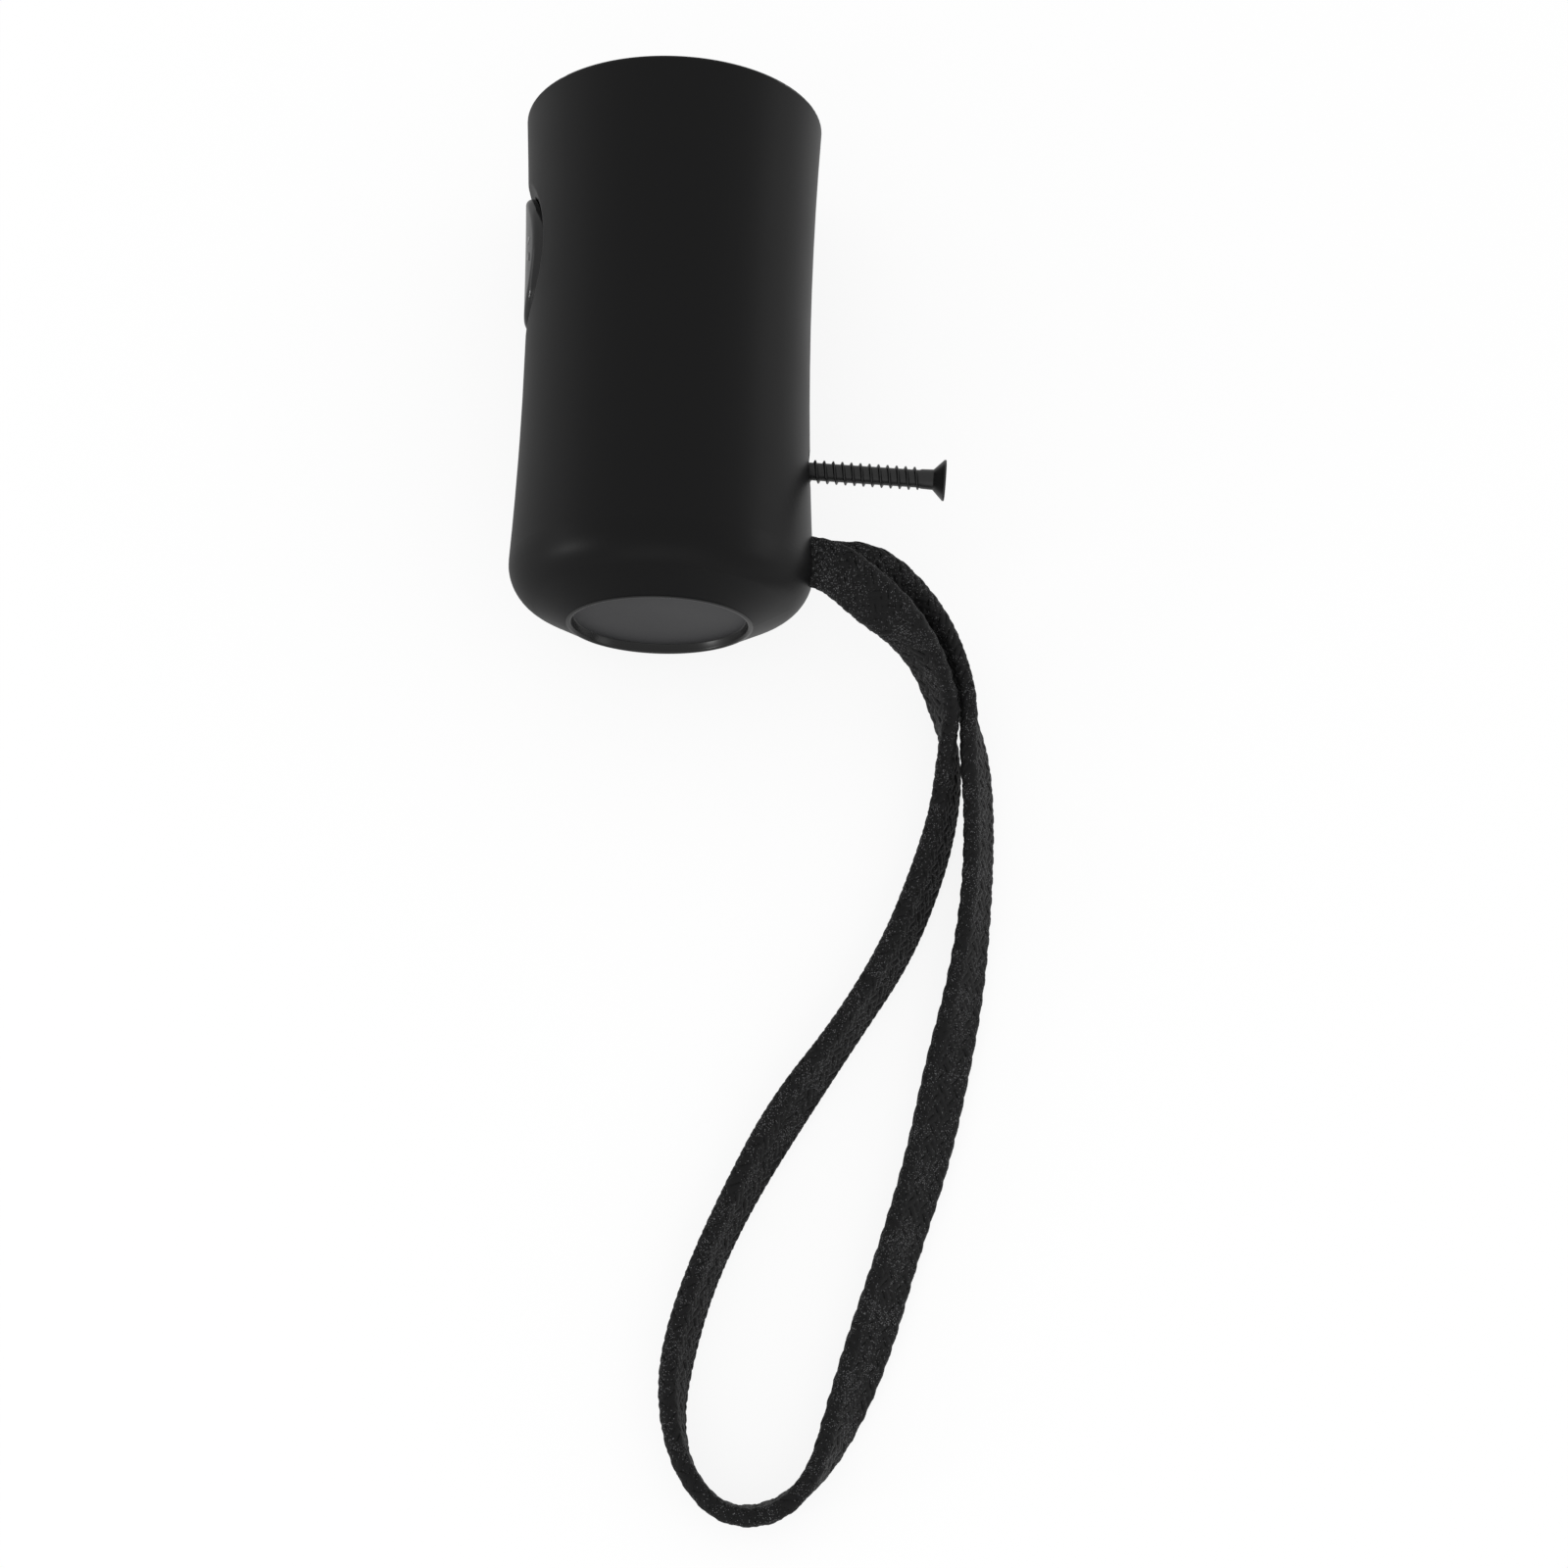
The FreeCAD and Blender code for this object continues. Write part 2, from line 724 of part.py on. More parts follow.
def strap_stations(points):
    """Sections along straight runs joined by tangent arcs, as (place, direction, lean, width)."""
    places = [point[0] for point in points]
    stations = [(places[0], (places[1] - places[0]).normalize(), *points[0][1:])]
    radii = []
    length = 0.0
    last = places[0]
    for index in range(1, len(points) - 1):
        before, here, after = points[index - 1 : index + 2]
        coming, going = here[0] - before[0], after[0] - here[0]
        turn = coming.getAngle(going)
        reach = 0.45 * min(coming.Length, going.Length)
        radius = reach / math.tan(turn / 2)
        radii.append(radius)
        way_in, way_out = coming.normalize(), going.normalize()
        start, end = here[0] - way_in * reach, here[0] + way_out * reach
        length += (start - last).Length + radius * turn
        last = end
        towards = (way_out - way_in).normalize()
        centre = here[0] + towards * (radius / math.cos(turn / 2))
        axis = way_in.cross(way_out)
        steps = max(2, math.ceil(math.degrees(turn) / 9))
        for step in range(steps + 1):
            share = step / steps
            spin = FreeCAD.Rotation(axis, math.degrees(turn * share))
            place = centre + spin.multVec(start - centre)
            along = (2 * share - 1) * reach
            other = before if along < 0 else after
            run = (here[0] - other[0]).Length
            lean = between(here[1], other[1], abs(along) / run)
            width = between(here[2], other[2], abs(along) / run)
            stations.append((place, spin.multVec(way_in), lean, width))
    length += (places[-1] - last).Length
    stations.append((places[-1], (places[-1] - places[-2]).normalize(), *points[-1][1:]))
    return stations, radii, length


def tape_section(place, direction, lean, width):
    """A six-sided section of the flat tape: its edges are blunt points, its faces flat."""
    left = Vector(0, 0, 1).cross(direction).normalize()
    upright = direction.cross(left)
    slant = math.radians(lean)
    across = upright * math.cos(slant) + left * math.sin(slant)
    through = direction.cross(across)
    half, flat = width / 2, (width - number(size["tape_thickness"])) / 2
    deep = number(size["tape_thickness"]) / 2
    outline = ((half, 0), (flat, deep), (-flat, deep), (-half, 0), (-flat, -deep), (flat, -deep))
    corners = [place + across * a + through * b for a, b in outline]
    return Part.makePolygon(corners + corners[:1])


def wrist_strap():
    """The flat braided tape, as a ruled solid through its sections."""
    stations, radii, length = strap_stations(strap_points())
    strap = doc.addObject("Part::Feature", "wrist_strap")
    strap.Shape = Part.makeLoft([tape_section(*station) for station in stations], True, True)
    print("strap: %d sections, length %.1f mm" % (len(stations), length))
    print("strap arcs, mm:", " ".join("%.0f" % radius for radius in radii))
    full, thick = number(size["tape_width"]), number(size["tape_thickness"])
    section = (full - thick / 2) * thick
    print("strap volume %.0f mm3, section times length %.0f mm3" % (strap.Shape.Volume, section * length))
    return strap


# ---------------------------------------------------------------- the assembly


def moved_to_mouth(piece):
    """Moves a piece, so that the origin is at the mouth of the socket instead of at the base ring."""
    at = piece.Placement
    at.Base.y -= number(size["mouth_height"])
    piece.Placement = at


PIECES = {
    "grip_shell": grip_shell,
    "socket_core": socket_core,
    "push_button": push_button,
    "button_spring": button_spring,
    "shaft_screw": shaft_screw,
    "end_cap": end_cap,
    "strap_crimp": strap_crimp,
    "wrist_strap": wrist_strap,
}

built = {}
for name, make in PIECES.items():
    piece = make()
    piece.Label = name
    built[name] = piece
doc.recompute()
for piece in built.values():
    moved_to_mouth(piece)
doc.recompute()

for item in doc.Objects:
    if "Invalid" in item.State or "Error" in item.State:
        raise RuntimeError("%s failed: %s" % (item.Name, item.State))
for name, piece in built.items():
    shape = piece.Shape
    if shape.isNull() or not shape.isValid() or len(shape.Solids) != 1:
        raise RuntimeError("%s has no valid single solid" % name)

os.makedirs("parts", exist_ok=True)
for name, piece in built.items():
    piece.Shape.exportStep("parts/%s.step" % name)
    print("%-14s %7.0f mm3" % (name, piece.Shape.Volume))
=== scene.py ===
# %% [markdown]
# # A grip for a folding umbrella
#
# The object is the grip of an automatic folding umbrella, sold as a spare part. It is a hollow black
# moulding with a waist. A push button sits in a scoop on its left side, a screw is half driven into
# its right side, a grey disc closes its base, and a flat braided wrist strap comes out beside the
# screw and lies on the table in one long loop.
#
# The frame is loaded first. It holds every solid piece at its real size, and all lengths here are
# metres in that same frame: +Y runs out of the socket for the shaft, +Z is up.

import math

import bpy
import numpy as np
from mathutils import Matrix, Vector


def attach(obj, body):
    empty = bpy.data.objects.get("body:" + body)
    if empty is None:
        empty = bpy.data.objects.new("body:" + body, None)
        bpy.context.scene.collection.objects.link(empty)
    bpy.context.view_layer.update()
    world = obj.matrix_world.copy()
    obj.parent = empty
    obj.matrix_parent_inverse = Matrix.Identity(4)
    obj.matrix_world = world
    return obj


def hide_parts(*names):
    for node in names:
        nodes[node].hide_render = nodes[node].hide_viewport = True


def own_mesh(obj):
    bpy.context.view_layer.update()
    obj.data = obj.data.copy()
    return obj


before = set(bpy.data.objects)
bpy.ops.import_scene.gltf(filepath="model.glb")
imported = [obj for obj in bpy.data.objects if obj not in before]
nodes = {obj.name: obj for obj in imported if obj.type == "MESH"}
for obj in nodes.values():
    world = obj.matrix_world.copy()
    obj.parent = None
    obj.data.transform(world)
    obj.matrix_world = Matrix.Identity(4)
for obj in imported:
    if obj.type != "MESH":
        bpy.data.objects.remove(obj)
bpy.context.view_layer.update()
print("pieces in the frame:", ", ".join(sorted(nodes)))

# %% [markdown]
# ## The camera
#
# The photographer looked down on the table, a little from the strap's end, with a long lens. The
# camera's place was found from the round rim and the round base, which the lens shows as ellipses of
# known size. Its three directions are written as the columns of a matrix, because that is how a
# camera's turn is measured: what is right, up and backwards for it.

# %% The camera
camera = bpy.data.objects.new("camera", bpy.data.cameras.new("camera"))
bpy.context.scene.collection.objects.link(camera)
camera_right = Vector((0.99982, 0.018165, 0.004790))
camera_up = Vector((-0.018786, 0.966768, 0.254964))
camera_back = Vector((0.0, -0.255009, 0.966939))
camera.matrix_world = Matrix.Translation((0.018575, -0.200217, 0.393383)) @ (
    Matrix((camera_right, camera_up, camera_back)).transposed().to_4x4()
)
camera.data.sensor_width = 36
camera.data.lens = 64.99
camera.data.clip_start = 0.01
camera.data.clip_end = 10
bpy.context.scene.camera = camera
bpy.context.scene.view_settings.view_transform = "Standard"
looks_down = math.degrees(math.asin(camera_back.z))
print("camera: %.0f mm lens, looks down at %.0f degrees" % (camera.data.lens, looks_down))

# %% [markdown]
# ## Small helpers for nodes
#
# A material is a small network: some nodes read a place on the piece, some turn it into a pattern, and
# the shader takes the result. The same three steps come back in every finish, so they get a helper
# each: join a value to a socket, do a sum, and start from a plain material.


# %% Node helpers
def feed(tree, socket, value):
    """Gives a socket a fixed value, or joins it to the output of another node."""
    if isinstance(value, bpy.types.NodeSocket):
        tree.links.new(value, socket)
    else:
        socket.default_value = value


def calculate(tree, operation, *values):
    """A Math node on numbers or on the outputs of other nodes."""
    step = tree.nodes.new("ShaderNodeMath")
    step.operation = operation
    for socket, value in zip(step.inputs, values):
        feed(tree, socket, value)
    return step.outputs[0]


def plain_material(name, colour, roughness, specular=0.5):
    """A material of one colour, on which a finish is then built."""
    material = bpy.data.materials.new(name)
    material.use_nodes = True
    shader = material.node_tree.nodes["Principled BSDF"]
    shader.inputs["Base Color"].default_value = (*colour, 1)
    shader.inputs["Roughness"].default_value = roughness
    shader.inputs["Specular IOR Level"].default_value = specular
    return material


# %% [markdown]
# ## The table
#
# A black object on white shows little more than the reflections of what is round it. To the camera
# most of the table's look is a plain white glow, as in a product photograph. The rest is real diffuse
# paint, which keeps the object's soft shadow.
#
# The object mirrors the table too, and its left edge is darker in the photograph than its right one.
# So in mirror reflections the table carries a painted shadow: it is darkest in a strip to the left of
# the object, and becomes brighter with the distance from that strip.

# %% The table
LOWEST = -0.02245
TABLE_SIZE, TABLE_GAP = 6, 0.0002
GLOW_SEEN, GLOW_STRENGTH = 0.82, 1.05
MIRRORED_DARKEST, MIRRORED_BRIGHTEST = 0.42, 0.80
SHADOW_STRIP_X, STRIP_FADE = -0.03, 5.0


def nothing_selected():
    """Operators work on what is selected, so each piece starts from nothing."""
    bpy.ops.object.select_all(action="DESELECT")


nothing_selected()
bpy.ops.mesh.primitive_plane_add(size=TABLE_SIZE, location=(0, 0, LOWEST - TABLE_GAP))
table = bpy.context.object
table.name = "table"
table_white = plain_material("table_white", (0.9, 0.9, 0.9), 0.9, 0.1)
table_tree = table_white.node_tree
rays = table_tree.nodes.new("ShaderNodeLightPath")
seen, in_mirror = rays.outputs["Is Camera Ray"], rays.outputs["Is Glossy Ray"]
spot = table_tree.nodes.new("ShaderNodeSeparateXYZ")
feed(table_tree, spot.inputs[0], table_tree.nodes.new("ShaderNodeTexCoord").outputs["Object"])
# Painted shadow: the glow that mirrors see is dimmed in a strip along the object's left side.
aside = calculate(table_tree, "SUBTRACT", spot.outputs[0], SHADOW_STRIP_X)
away = calculate(table_tree, "ABSOLUTE", aside)
fading = calculate(table_tree, "MULTIPLY_ADD", away, STRIP_FADE, MIRRORED_DARKEST)
mirrored = calculate(table_tree, "MINIMUM", fading, MIRRORED_BRIGHTEST)
to_camera = calculate(table_tree, "MULTIPLY", seen, GLOW_STRENGTH)
strength = calculate(table_tree, "MULTIPLY_ADD", in_mirror, mirrored, to_camera)
share = calculate(table_tree, "MULTIPLY_ADD", seen, GLOW_SEEN, in_mirror)
glow = table_tree.nodes.new("ShaderNodeEmission")
feed(table_tree, glow.inputs["Strength"], strength)
part_glow = table_tree.nodes.new("ShaderNodeMixShader")
painted = table_tree.nodes["Principled BSDF"].outputs[0]
for socket, value in zip(part_glow.inputs, (share, painted, glow.outputs[0])):
    feed(table_tree, socket, value)
feed(table_tree, table_tree.nodes["Material Output"].inputs["Surface"], part_glow.outputs[0])
table.data.materials.append(table_white)
print("the table's top is at a height of %.2f mm" % ((LOWEST - TABLE_GAP) * 1000))

# %% [markdown]
# ## The light
#
# The sky is plain and pale, and pure white where the camera sees it directly. Two wide, low lamps at
# the sides give the soft bands along the body, a small one at the front left gives the button its
# streak, and a broad one in front lights the base.

# %% The light
world = bpy.data.worlds.new("studio")
bpy.context.scene.world = world
world.use_nodes = True
sky_tree = world.node_tree
sky_tree.nodes["Background"].inputs["Color"].default_value = (1, 1, 1, 1)
SKY_LIGHT, SKY_SEEN = 0.78, 1.0
sky_seen = sky_tree.nodes.new("ShaderNodeLightPath").outputs["Is Camera Ray"]
sky = calculate(sky_tree, "MULTIPLY_ADD", sky_seen, SKY_SEEN - SKY_LIGHT, SKY_LIGHT)
feed(sky_tree, sky_tree.nodes["Background"].inputs["Strength"], sky)


def softbox(name, place, towards, size, power):
    """A broad lamp that faces a point."""
    lamp = bpy.data.lights.new(name, "AREA")
    lamp.shape = "RECTANGLE"
    lamp.size, lamp.size_y = size
    lamp.energy = power
    box = bpy.data.objects.new(name, lamp)
    bpy.context.scene.collection.objects.link(box)
    box.location = place
    box.rotation_mode = "QUATERNION"
    box.rotation_quaternion = (Vector(towards) - Vector(place)).to_track_quat("-Z", "Y")


softbox("softbox_left", (-0.8, -0.05, 0.22), (0, -0.06, 0), (0.6, 0.3), 0.45)
softbox("softbox_low", (-0.72, -0.40, 0.20), (-0.02, -0.03, 0), (0.12, 0.16), 0.8)
softbox("softbox_right", (0.8, -0.05, 0.08), (0.02, -0.06, 0), (0.7, 0.3), 0.8)
softbox("softbox_front", (0.02, -0.95, 0.4), (0.02, -0.1, 0), (0.8, 0.5), 0.55)
print("lamps:", ", ".join(sorted(lamp.name for lamp in bpy.data.lights)))

# %% [markdown]
# ## Shared effects: the grain of a moulding, dust, and brushed wire
#
# The mould of a plastic part is etched, which leaves a fine grain on the plastic, and its gloss is
# never quite even. That is one effect with a few settings, so it is built once, as a node group, and
# every plastic piece uses it with its own values. The same goes for the few dust specks that a camera
# always finds on a black part, and for the fine lines that drawing leaves along a wire.
#
# A group gives out patterns only. The shader itself stays in each material.


# %% Node groups
def new_group(name, takes, gives):
    """An empty node group with named sockets, and its nodes for what comes in and what goes out."""
    group = bpy.data.node_groups.new(name, "ShaderNodeTree")
    for direction, sockets in (("INPUT", takes), ("OUTPUT", gives)):
        for socket, kind in sockets.items():
            group.interface.new_socket(socket, in_out=direction, socket_type="NodeSocket" + kind)
    return group, group.nodes.new("NodeGroupInput").outputs, group.nodes.new("NodeGroupOutput").inputs


def use_group(tree, group, **values):
    """Places a group in a material and sets its inputs; an underscore stands for a space."""
    step = tree.nodes.new("ShaderNodeGroup")
    step.node_tree = group
    for name, value in values.items():
        feed(tree, step.inputs[name.replace("_", " ")], value)
    return step.outputs


def noise(tree, place, scale, detail=2.0):
    step = tree.nodes.new("ShaderNodeTexNoise")
    step.inputs["Detail"].default_value = detail
    feed(tree, step.inputs["Vector"], place)
    feed(tree, step.inputs["Scale"], scale)
    return step.outputs["Fac"]


moulded_grain, taken, given = new_group(
    "moulded_grain",
    {"Place": "Vector", "Grain size": "Float", "Gloss": "Float", "Unevenness": "Float"},
    {"Height": "Float", "Roughness": "Float"},
)
per_metre = calculate(moulded_grain, "DIVIDE", 1.0, taken["Grain size"])
feed(moulded_grain, given["Height"], noise(moulded_grain, taken["Place"], per_metre))
CLOUDS_PER_METRE = 70.0
cloudy = noise(moulded_grain, taken["Place"], CLOUDS_PER_METRE)
clouds = calculate(moulded_grain, "SUBTRACT", cloudy, 0.5)
spread = calculate(moulded_grain, "MULTIPLY_ADD", clouds, taken["Unevenness"], taken["Gloss"])
feed(moulded_grain, given["Roughness"], spread)

dust_specks, taken, given = new_group(
    "dust_specks",
    {"Place": "Vector", "Spacing": "Float", "Speck size": "Float", "Share": "Float"},
    {"Mask": "Float"},
)
cells = dust_specks.nodes.new("ShaderNodeTexVoronoi")
feed(dust_specks, cells.inputs["Vector"], taken["Place"])
feed(dust_specks, cells.inputs["Scale"], calculate(dust_specks, "DIVIDE", 1.0, taken["Spacing"]))
chance = dust_specks.nodes.new("ShaderNodeSeparateColor")
feed(dust_specks, chance.inputs[0], cells.outputs["Color"])
away = calculate(dust_specks, "MULTIPLY", cells.outputs["Distance"], taken["Spacing"])
reach = calculate(dust_specks, "MULTIPLY", taken["Speck size"], chance.outputs[0])
on_speck = calculate(dust_specks, "LESS_THAN", away, reach)
has_speck = calculate(dust_specks, "LESS_THAN", chance.outputs[1], taken["Share"])
feed(dust_specks, given["Mask"], calculate(dust_specks, "MULTIPLY", on_speck, has_speck))

drawn_lines, taken, given = new_group(
    "drawn_lines",
    {"Place": "Vector", "Lines per metre": "Float", "Gloss": "Float", "Unevenness": "Float"},
    {"Height": "Float", "Roughness": "Float"},
)
STRETCH = (1.0, 0.06, 1.0)
stretched = drawn_lines.nodes.new("ShaderNodeMapping")
stretched.inputs["Scale"].default_value = STRETCH
feed(drawn_lines, stretched.inputs["Vector"], taken["Place"])
lines = noise(drawn_lines, stretched.outputs[0], taken["Lines per metre"], detail=3.0)
feed(drawn_lines, given["Height"], lines)
centred = calculate(drawn_lines, "SUBTRACT", lines, 0.5)
gloss = calculate(drawn_lines, "MULTIPLY_ADD", centred, taken["Unevenness"], taken["Gloss"])
feed(drawn_lines, given["Roughness"], gloss)
print("node groups:", ", ".join(group.name for group in bpy.data.node_groups))

# %% [markdown]
# ## The finishes of the hard pieces
#
# A finish takes the piece's own coordinates, runs them through a group, and sends the result to the
# shader: the pattern's height through a Bump node, its gloss straight to Roughness. Dust only changes
# the colour. The moulded pieces are near black, apart from the grey disc and the pale marks, and what
# tells the black ones apart is their gloss and grain.


# %% Finishes
DUST_GREY = (0.16, 0.16, 0.16, 1)
DUST_SPACING, DUST_SIZE = 0.006, 0.00016
UNEVEN_PLASTIC, UNEVEN_METAL = 0.12, 0.2
METAL_LINES, METAL_DEPTH = 9000.0, 0.000004


def own_place(tree):
    return tree.nodes.new("ShaderNodeTexCoord").outputs["Object"]


def set_bump(tree, height, depth):
    """Raises the surface by a pattern, by at most the depth in metres."""
    bump = tree.nodes.new("ShaderNodeBump")
    bump.inputs["Distance"].default_value = depth
    feed(tree, bump.inputs["Height"], height)
    feed(tree, tree.nodes["Principled BSDF"].inputs["Normal"], bump.outputs[0])


def add_specks(tree, colour, speck_colour, mask):
    """Shows a second colour where a mask is 1."""
    blend = tree.nodes.new("ShaderNodeMix")
    blend.data_type = "RGBA"
    colours = [socket for socket in blend.inputs if socket.type == "RGBA"]
    colours[0].default_value = (*colour, 1)
    colours[1].default_value = speck_colour
    feed(tree, blend.inputs[0], mask)
    result = next(socket for socket in blend.outputs if socket.type == "RGBA")
    feed(tree, tree.nodes["Principled BSDF"].inputs["Base Color"], result)


def moulded_plastic(name, colour, gloss, specular, grain_size, grain_depth, dust_share):
    material = plain_material(name, colour, gloss, specular)
    tree = material.node_tree
    place = own_place(tree)
    grain = use_group(
        tree, moulded_grain, Place=place, Grain_size=grain_size, Gloss=gloss, Unevenness=UNEVEN_PLASTIC
    )
    feed(tree, tree.nodes["Principled BSDF"].inputs["Roughness"], grain["Roughness"])
    set_bump(tree, grain["Height"], grain_depth)
    dust = use_group(
        tree, dust_specks, Place=place, Spacing=DUST_SPACING, Speck_size=DUST_SIZE, Share=dust_share
    )
    add_specks(tree, colour, DUST_GREY, dust["Mask"])
    return material


def drawn_metal(name, colour, gloss, metallic, specular=0.5):
    material = plain_material(name, colour, gloss, specular)
    tree = material.node_tree
    tree.nodes["Principled BSDF"].inputs["Metallic"].default_value = metallic
    lines = use_group(
        tree,
        drawn_lines,
        Place=own_place(tree),
        Lines_per_metre=METAL_LINES,
        Gloss=gloss,
        Unevenness=UNEVEN_METAL,
    )
    feed(tree, tree.nodes["Principled BSDF"].inputs["Roughness"], lines["Roughness"])
    set_bump(tree, lines["Height"], METAL_DEPTH)
    return material


# colour, gloss, specular, size and depth of the grain, share of cells with dust
plastics = {
    name: moulded_plastic(name, *settings)
    for name, settings in {
        "shell_black": ((0.0026, 0.0026, 0.0028), 0.40, 0.165, 0.00022, 0.000007, 0.3),
        "edge_black": ((0.0060, 0.0060, 0.0062), 0.28, 0.36, 0.0003, 0.000003, 0.1),
        "core_black": ((0.0050, 0.0050, 0.0052), 0.5, 0.25, 0.00045, 0.000012, 0.2),
        "button_black": ((0.0042, 0.0042, 0.0045), 0.15, 0.45, 0.0003, 0.000002, 0.2),
        "mark_pale": ((0.22, 0.22, 0.22), 0.4, 0.4, 0.0003, 0.000002, 0.0),
        "cap_grey": ((0.040, 0.040, 0.042), 0.5, 0.22, 0.00028, 0.000012, 0.5),
    }.items()
}
screw_black = drawn_metal("screw_black", (0.010, 0.010, 0.010), 0.38, 0.0, 0.45)
spring_steel = drawn_metal("spring_steel", (0.55, 0.55, 0.56), 0.28, 1.0)
crimp_steel = drawn_metal("crimp_steel", (0.50, 0.50, 0.50), 0.42, 1.0)
print("plastics:", ", ".join(plastics))

# %% [markdown]
# The shell, the core, the button, the disc and the crimp already have their true shapes, so they only
# change their finish.

# %% Dress the pieces of the frame
for name, finish in (
    ("grip_shell", plastics["shell_black"]),
    ("socket_core", plastics["core_black"]),
    ("push_button", plastics["button_black"]),
    ("end_cap", plastics["cap_grey"]),
    ("strap_crimp", crimp_steel),
):
    nodes[name].data.materials.clear()
    nodes[name].data.materials.append(finish)
    print(name, "wears", finish.name)

# %% [markdown]
# ## Marks on the button
#
# The photograph shows two small pale marks on the upper side of the button's face. They are made here
# as two raised pale triangles, side by side, one pointing up and one down. Each one is a three-sided
# cylinder with its edges bevelled, almost sunk into the face. It is laid on the face's middle line and
# then swung up around the grip's axis, because the face follows the round body.

# %% The marks
BUTTON_MIDDLE_Y = -0.0164
FACE_X = -0.02187
MARK_SIZE, MARK_DEPTH, MARK_RISE = 0.0008, 0.0006, 0.00008
MARK_BEVEL = 0.00008
MARK_SWING = math.radians(16.5)
MARK_UP_AWAY, MARK_DOWN_AWAY = 0.0014, -0.0015


def only_selected(piece):
    nothing_selected()
    piece.select_set(True)
    bpy.context.view_layer.objects.active = piece


def apply_place(piece):
    """Moves an object's place, turn and scale into its mesh."""
    only_selected(piece)
    bpy.ops.object.transform_apply(location=True, rotation=True, scale=True)


def apply_modifier(piece, kind, **settings):
    """Adds a modifier, sets it up and applies it."""
    only_selected(piece)
    modifier = piece.modifiers.new(kind.lower(), kind)
    for setting, value in settings.items():
        setattr(modifier, setting, value)
    bpy.ops.object.modifier_apply(modifier=modifier.name)


for name, flipped, away in (
    ("button_mark_up", 0, MARK_UP_AWAY),
    ("button_mark_down", math.pi, MARK_DOWN_AWAY),
):
    nothing_selected()
    bpy.ops.mesh.primitive_cylinder_add(vertices=3, radius=MARK_SIZE, depth=MARK_DEPTH)
    mark = bpy.context.object
    mark.name = name
    apply_modifier(mark, "BEVEL", width=MARK_BEVEL, segments=2)
    turn = Matrix.Rotation(math.radians(90), 4, "Y") @ Matrix.Rotation(math.radians(90), 4, "Z")
    flip = Matrix.Rotation(flipped, 4, "X")
    middle = (FACE_X + MARK_DEPTH / 2 - MARK_RISE, BUTTON_MIDDLE_Y + away, 0)
    swing = Matrix.Rotation(MARK_SWING, 4, "Y")
    mark.matrix_world = swing @ Matrix.Translation(middle) @ flip @ turn
    apply_place(mark)
    mark.data.materials.append(plastics["mark_pale"])
    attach(mark, "button")
    print(name, len(mark.data.polygons), "faces")

# %% [markdown]
# ## The rounded edge of the base
#
# The grey disc lies a little deeper than the base, and the moulding runs down to it with a rounded
# edge and a slightly sloping wall. That edge catches the light as a thin pale line. It is a turned
# shape: a circle is extruded step by step, and each new circle is made wider or narrower. The helper
# does that for any list of radii and heights, and the screw uses it again.


# %% A helper for turned shapes
WELD_DISTANCE = 0.000002


def turn_shape(name, steps, corners, filled=False):
    """A shape turned about Z, drawn as circles: each step is the radius and height of the next one."""
    nothing_selected()
    first_radius, first_height = steps[0]
    bpy.ops.mesh.primitive_circle_add(
        vertices=corners,
        radius=first_radius,
        fill_type="NGON" if filled else "NOTHING",
        location=(0, 0, first_height),
    )
    shape = bpy.context.object
    shape.name = name
    apply_place(shape)
    bpy.ops.object.mode_set(mode="EDIT")
    bpy.ops.mesh.select_all(action="SELECT")
    last_radius, last_height = first_radius, first_height
    for radius, height in steps[1:]:
        rise = (0, 0, height - last_height)
        bpy.ops.mesh.extrude_region_move(TRANSFORM_OT_translate={"value": rise})
        wider = radius / last_radius
        bpy.ops.transform.resize(value=(wider, wider, 1), center_override=(0, 0, 0))
        last_radius, last_height = radius, height
    bpy.ops.mesh.select_all(action="SELECT")
    bpy.ops.mesh.remove_doubles(threshold=WELD_DISTANCE)
    bpy.ops.mesh.normals_make_consistent(inside=False)
    bpy.ops.object.mode_set(mode="OBJECT")
    return shape


# %% The rounded edge
BASE_Y = -0.0730
DISC_RADIUS, DISC_DEPTH = 0.0130, 0.0012
# (radius, height out of the base), from the outside over the bead, down the wall, and back behind it
BEAD_STEPS = [
    (DISC_RADIUS + 0.00064, -0.00006),
    (DISC_RADIUS + 0.00044, 0.00004),
    (DISC_RADIUS + 0.00022, 0.00008),
    (DISC_RADIUS + 0.00008, 0.00006),
    (DISC_RADIUS - 0.00003, -0.00001),
    (DISC_RADIUS - 0.00011, -0.00012),
    (DISC_RADIUS - 0.00016, -0.00026),
    (DISC_RADIUS - 0.00036, 0.00012 - DISC_DEPTH),
    (DISC_RADIUS - 0.00042, 0.00004 - DISC_DEPTH),
    (DISC_RADIUS - 0.00050, 0.00001 - DISC_DEPTH),
    (DISC_RADIUS - 0.00050, -0.00010 - DISC_DEPTH),
    (DISC_RADIUS + 0.00030, -0.00010 - DISC_DEPTH),
    (DISC_RADIUS + 0.00064, -0.00006),
]
bead = turn_shape("base_edge", BEAD_STEPS, corners=160)
bead.matrix_world = Matrix.Translation((0, BASE_Y, 0)) @ Matrix.Rotation(math.radians(90), 4, "X")
apply_place(bead)
bpy.ops.object.shade_smooth_by_angle(angle=math.radians(50))
bead.data.materials.append(plastics["edge_black"])
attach(bead, "grip")
print("base edge:", len(bead.data.polygons), "faces")

# %% [markdown]
# ## The button's spring
#
# A spring is the easiest thing to model that looks hard: the round section of the wire is drawn once,
# and the Screw modifier carries it round and along the axis. It stands round the button's post, inside
# the grip.

# %% The spring
SPRING_SEAT_X, SPRING_TOP_X = -0.01025, -0.01965
SPRING_RADIUS, SPRING_WIRE, SPRING_TURNS = 0.00375, 0.00035, 6

